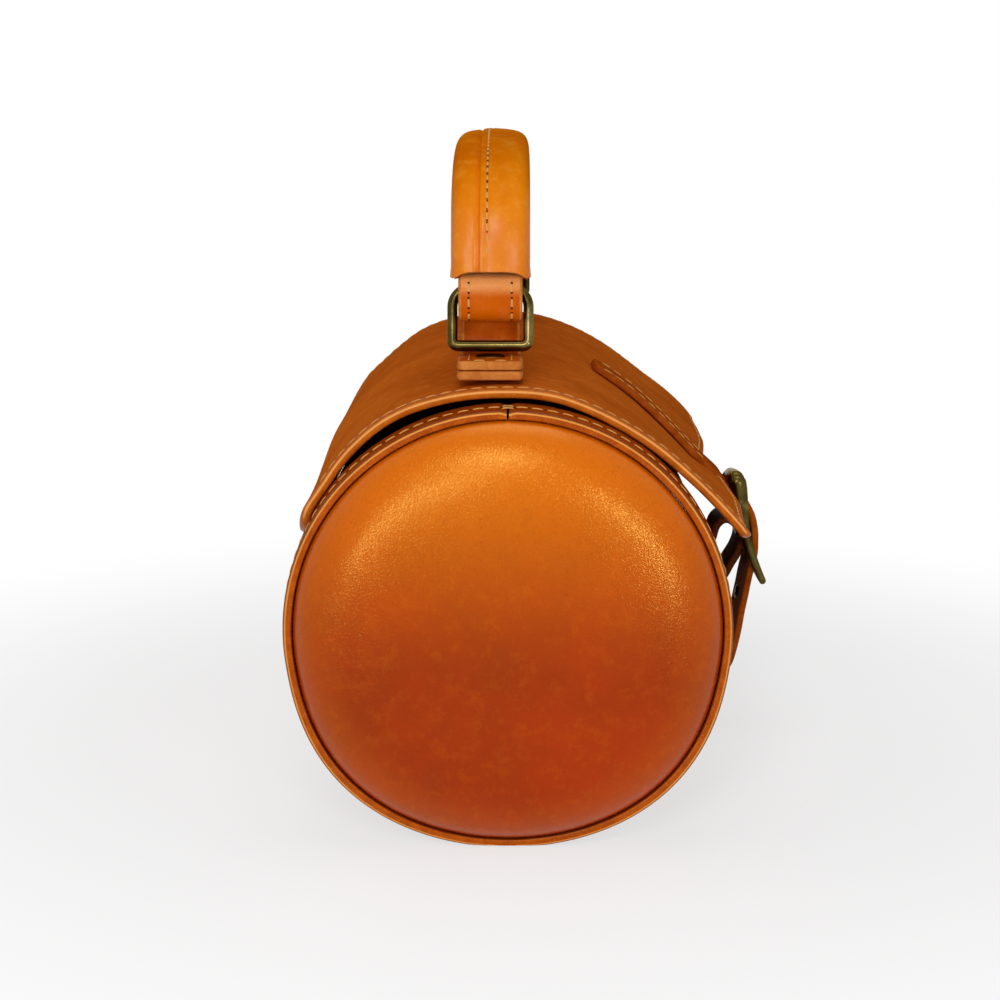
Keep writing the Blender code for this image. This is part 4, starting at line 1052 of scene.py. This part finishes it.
def makeSleeve():
    line = handleLine()
    total = len(line) - 1
    wide, deep, wall = handle["wide"], handle["deep"], handle["wall"]
    outer = rollSection(wide, deep, 64, handle["seam"])
    inner = [(a * (1 - wall / wide), b * (1 - wall / deep)) for a, b in outer]

    def ringOf(i, section, outside):
        # The mouths are cut in an arch and flare a little at their last ring
        away = min(i, total - i)
        found = []
        for a, b in section:
            add = 0.0
            if outside:
                add = seamLift(a, b) if b > 0 else 0.0
                add += 0.14 * mm * ripple(a * 90, i * 0.16, b * 90)
                if away == 0:
                    add += handle["flare"] * (1 if b > 0 else -1)
                    a *= 1 + 0.3 * mm / wide
            b += add
            beside = min(abs(a) / wide, 1)
            low = handle["arch"] * (1 - beside ** 5) * (0.35 + 0.65 * (b > 0))
            low += 1.9 * mm * easy(beside, 0.84, 1) ** 2
            down = Vector((0, 0, (low - 2.2 * mm) * max(1 - away / 4, 0)))
            found.append(line[i] + Vector((a, 0, 0)) + outwardOf(line, i) * b + down)
        return found

    rings = [ringOf(i, outer, True) for i in range(total + 1)]
    innerRings = [ringOf(i, inner, False) for i in range(total + 1)]

    def lip(end, share, drop):
        return [p.lerp(q, share) - upward * drop for p, q in zip(rings[end], innerRings[end])]

    order = rings + [lip(-1, 0.3, 0.35 * mm), lip(-1, 0.75, 0.3 * mm)] + innerRings[::-1]
    order += [lip(0, 0.75, 0.3 * mm), lip(0, 0.3, 0.35 * mm)]
    count, n = len(outer), len(order)
    which = [0] * total + [1] * 3 + [2] * (n - 6 - total) + [1] * 3
    made = addPiece("handleSleeve", [p for points in order for p in points], quads(n, count, True),
                    ("handle", "edge", "suede"), [mark for mark in which for k in range(count)], 55)
    give(made, "handle", "handle_sleeve")
    across = handle["seam"] + handle["stitch"]
    normals = [outwardOf(line, i) for i in range(2, total - 1)]
    path = [line[i] + Vector((across, 0, 0)) + outwardOf(line, i) * (deep + seamLift(across, deep))
            for i in range(2, total - 1)]
    sew("sleeveStitches", [(path, normals)], "handle", "handle_sleeve", sleeveThread)
    filler = rollSection(wide - wall - seat, deep - wall - seat, 40)
    low = -core["fromMiddle"] + foot["thick"] / 2 + seat
    inside = [i for i in range(total + 1) if line[i].z > handle["mouth"] + 6 * mm]
    verts = [line[i] + Vector((a, 0, 0)) + outwardOf(line, i) * max(b, low)
             for i in inside for a, b in filler]
    faces = quads(len(inside), len(filler)) + caps(len(inside), len(filler))
    felt = addPiece("handleFilling", verts, faces, ("felt",))
    give(felt, "handle", "handle_padding")


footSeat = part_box("handle_foot_near")[0][2]
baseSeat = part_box("handle_base_near")[0][2]


def makeCore():
    # One strap from the near foot through the roll to the far foot
    line = handleLine(60)
    leg = handle["leg"] - core["fromMiddle"]
    root = foot["front"] - foot["long"] - seat
    bend = root - leg
    middle = footSeat + foot["thick"] / 2
    half = [(-foot["front"] + (foot["front"] - root) * k / 7, middle) for k in range(7)]
    half += arc((-root, middle + bend), bend, 270, 360, 9)
    half.append((-leg, (middle + bend + handle["mouth"]) / 2))
    points = [Vector((handleX, y, z)) for y, z in half]
    points += [line[i] - outwardOf(line, i) * core["fromMiddle"] for i in range(len(line))]
    points += [Vector((handleX, -y, z)) for y, z in half[::-1]]

    def widthAt(m, total):
        return foot["wide"] + (core["wide"] - foot["wide"]) * easy(min(m, total - m), *core["narrows"])

    keys = ("strap", "edge", "strap")
    made = makeStrap("handleCore", softPath(points, 2), Vector((-1, 0, 0)), foot, keys,
                     (foot["corner"], foot["corner"]), 1.0 * mm, widthAt)
    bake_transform(made)
    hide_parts("handle_foot_near", "handle_foot_far", "handle_strap")
    for side, label in ((-1, "Near"), (1, "Far")):
        makeFoot(side, label, keys)


def makeFoot(side, label, keys):
    # Lower layer, stitches and rivet of one foot
    low = foot["front"] - foot["long"]
    flat = [Vector((handleX, side * (low + foot["long"] * k / 8), baseSeat + foot["thick"] / 2))
            for k in range(9)]
    base = makeStrap("handleBase" + label, flat, Vector((-side, 0, 0)), foot, keys,
                     (0, foot["corner"]))
    give(base, "lid", "handle_base_" + label.lower())
    top = footSeat + foot["thick"] + onFace
    front = foot["front"] - foot["stitchIn"]
    beside = foot["stitch"]
    rows = [[(across, front - k * mm) for k in range(17)] for across in (-beside, beside)]
    rows.append([(-beside + 2 * beside * k / 12, front) for k in range(13)])
    rows = [[Vector((handleX + a, side * b, top)) for a, b in row] for row in rows]
    sew("footStitches" + label, [(row, [upward] * len(row)) for row in rows], "lid",
        "handle_foot_" + label.lower())
    makeRivet(label, top)


def makeRivet(label, top):
    low, high, x, y = middleOf("handle_rivet_" + label.lower())
    radius, bottom = (high[0] - low[0]) / 2, low[2]
    profile = [(0, 0.95), (0.4, 0.92), (0.7, 0.78), (0.88, 0.55), (0.97, 0.25), (1.0, 0.05),
               (0.96, 0.0)]
    rows = [(radius * r, top + 0.05 * mm + h * 0.9 * mm) for r, h in profile]
    rows += [(1.5 * mm, top), (1.5 * mm, bottom + 0.9 * mm), (radius * 0.96, bottom + 0.9 * mm),
             (radius, bottom + 0.6 * mm), (radius * 0.8, bottom + 0.1 * mm), (0, bottom)]

    def point(r, height, turn):
        return Vector((x + r * cos(turn), y + r * sin(turn), height))

    made = lathe("handleRivet" + label, rows, ("rivet",), 40, point, [0] * (len(rows) - 1), 60)
    give(made, "lid", "handle_rivet_" + label.lower())


def makeTab(side, label):
    node = "ring_tab_" + label.lower()
    low, high, x, y = middleOf(node)
    radius = tab["cavity"] / 2 + tab["thick"] / 2
    outer = tab["cavity"] / 2 + tab["thick"]
    upper, lower = high[2] - outer, low[2] + outer
    loop = arc((y, upper), radius, 0, 180, 16) + arc((y, lower), radius, 180, 360, 16)
    path = [Vector((x, *pair)) for pair in loop + loop[:1]]
    made = makeStrap("ringTab" + label, path, Vector((1, 0, 0)), tab, ("tab", "edge", "tab"),
                     step=0.8 * mm, closed=True)
    give(made, "handle", node)
    rows = []
    for across in (-tab["stitch"], tab["stitch"]):
        run, normals = [], []
        for k in range(24):
            z = upper + outer * 0.6 - k * 0.55 * mm
            up = z - min(max(z, lower), upper)
            lift = sqrt(max(outer ** 2 - up ** 2, 0))
            run.append(Vector((x + across, y + side * (lift + onFace), z)))
            normals.append(Vector((0, side * lift, up)).normalized())
        rows.append((run, normals))
    sew("tabStitches" + label, rows, "handle", node, tabThread)


def makeRing(side, label):
    low, high, x, y = middleOf("ring_tab_" + label.lower())
    pivot = high[2] - tab["cavity"] / 2 - tab["thick"]
    half = ring["inner"] / 2 + ring["wire"]
    corner = ring["corner"]
    flat = half - corner
    inside = tab["wide"] / 2 - flat
    top = (corner - sqrt(corner ** 2 - inside ** 2)) / 2
    bar = top - ring["height"]
    bend = ring["wire"] * 1.2
    points = arc((-half + bend, bar + bend), bend, 180, 270, 5)
    points += arc((half - bend, bar + bend), bend, 270, 360, 5)
    points += arc((flat, top - corner), corner, 0, 90, 14)
    points += arc((-flat, top - corner), corner, 90, 180, 14)
    lean = Matrix.Rotation(side * radians(ring["lean"]), 4, "X")
    path = [Vector((x, y, pivot)) + lean @ Vector((a, 0, b)) for a, b in points]
    thick = [ring["wire"] * (1.0 + ring["thicker"] * (b < bar + bend)) for a, b in points]
    verts, faces = tube(path, thick, True)
    give(addPiece("dRing" + label, verts, faces, ("brass",), None, 80), "ring_" + label.lower(),
         "d_ring_" + label.lower())


def lightPath(tree):
    # 1 for what the camera, a reflection or glass sees
    path = tree.nodes.new("ShaderNodeLightPath")
    rays = [Wire(tree, path.outputs["Is %s Ray" % kind])
            for kind in ("Camera", "Glossy", "Transmission")]
    return (rays[0] + rays[1] + rays[2]).clamp()


def makeFloor():
    # The floor takes the shadow near the bag and turns into the white background further out
    paint = Paint("studio_floor")
    tree = paint.tree
    x, y, z = paint.parts()
    tone = paint.cloud(3, 3, 0.5)
    colour = paint.blend(tone.step(0.3, 0.7) * 0.1, light["floor"], light["floorTone"])
    paints["floor"] = paint.finish({"Specular IOR Level": 0.1}, colour, 0.85 + tone * 0.1)
    away = (x * x * 0.6 + y * y * 0.6) ** 0.5
    far = away.step(*light["floorFade"]) * (1 - light["floorNear"]) + light["floorNear"]
    mix = paint.node("ShaderNodeMixShader", {0: far * lightPath(tree),
                                             1: Wire(tree, paint.shader.outputs[0]),
                                             2: paint.node("ShaderNodeEmission")})
    tree.links.new(mix.out, tree.nodes["Material Output"].inputs["Surface"])
    verts = [(a, b, light["floorZ"]) for a, b in ((-4, -4), (4, -4), (4, 6), (-4, 6))]
    addPiece("floor", verts, [(0, 1, 2, 3)], ("floor",))


def makeLights():
    world = bpy.data.worlds.new("studio")
    bpy.context.scene.world = world
    world.use_nodes = True
    tree = world.node_tree
    tree.nodes.clear()
    grey = (light["world"],) * 3 + (1,)
    tone = addNode(tree, "ShaderNodeMix", {0: lightPath(tree), 6: grey, 7: (1, 1, 1, 1)},
                   {"data_type": "RGBA"}, 2)
    shade = addNode(tree, "ShaderNodeBackground", {"Color": tone})
    out = tree.nodes.new("ShaderNodeOutputWorld")
    tree.links.new(shade.out, out.inputs["Surface"])
    for lamp in lamps:
        data = bpy.data.lights.new(lamp["name"], "AREA")
        data.energy = lamp["power"]
        data.shape = "RECTANGLE"
        data.size = lamp["size"]
        data.size_y = lamp.get("long", lamp["size"])
        made = addObject(lamp["name"], data)
        made.location = lamp["place"]
        facing = (made.location - Vector(light["aim"])).normalized()
        across = Vector(lamp.get("along", (0, 0.2, 1))).cross(facing).normalized()
        made.rotation_euler = Matrix((across, facing.cross(across), facing)).transposed().to_euler()


makeBarrel()
for side, label in ((-1, "Near"), (1, "Far")):
    makeRim(side, label)
    makePanel(side, label)
print("barrel ready")
makeLid()
sew("lidStitches", lidStitchRows(), "lid", "lid")
sew("backStitches", backStitchRows(), "bag", "lid_back_band")
print("lid ready")
makeFrontStrap()
makeSlide()
makeChape()
print("closure ready")
makeSleeve()
makeCore()
for side, label in ((-1, "Near"), (1, "Far")):
    makeTab(side, label)
    makeRing(side, label)
print("handle ready")
for name, key in (("catch_plate", "steel"), ("catch_magnet", "steel"), ("strap_stud", "brass")):
    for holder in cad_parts[name].material_slots:
        holder.material = paints[key]
makeFloor()
makeLights()
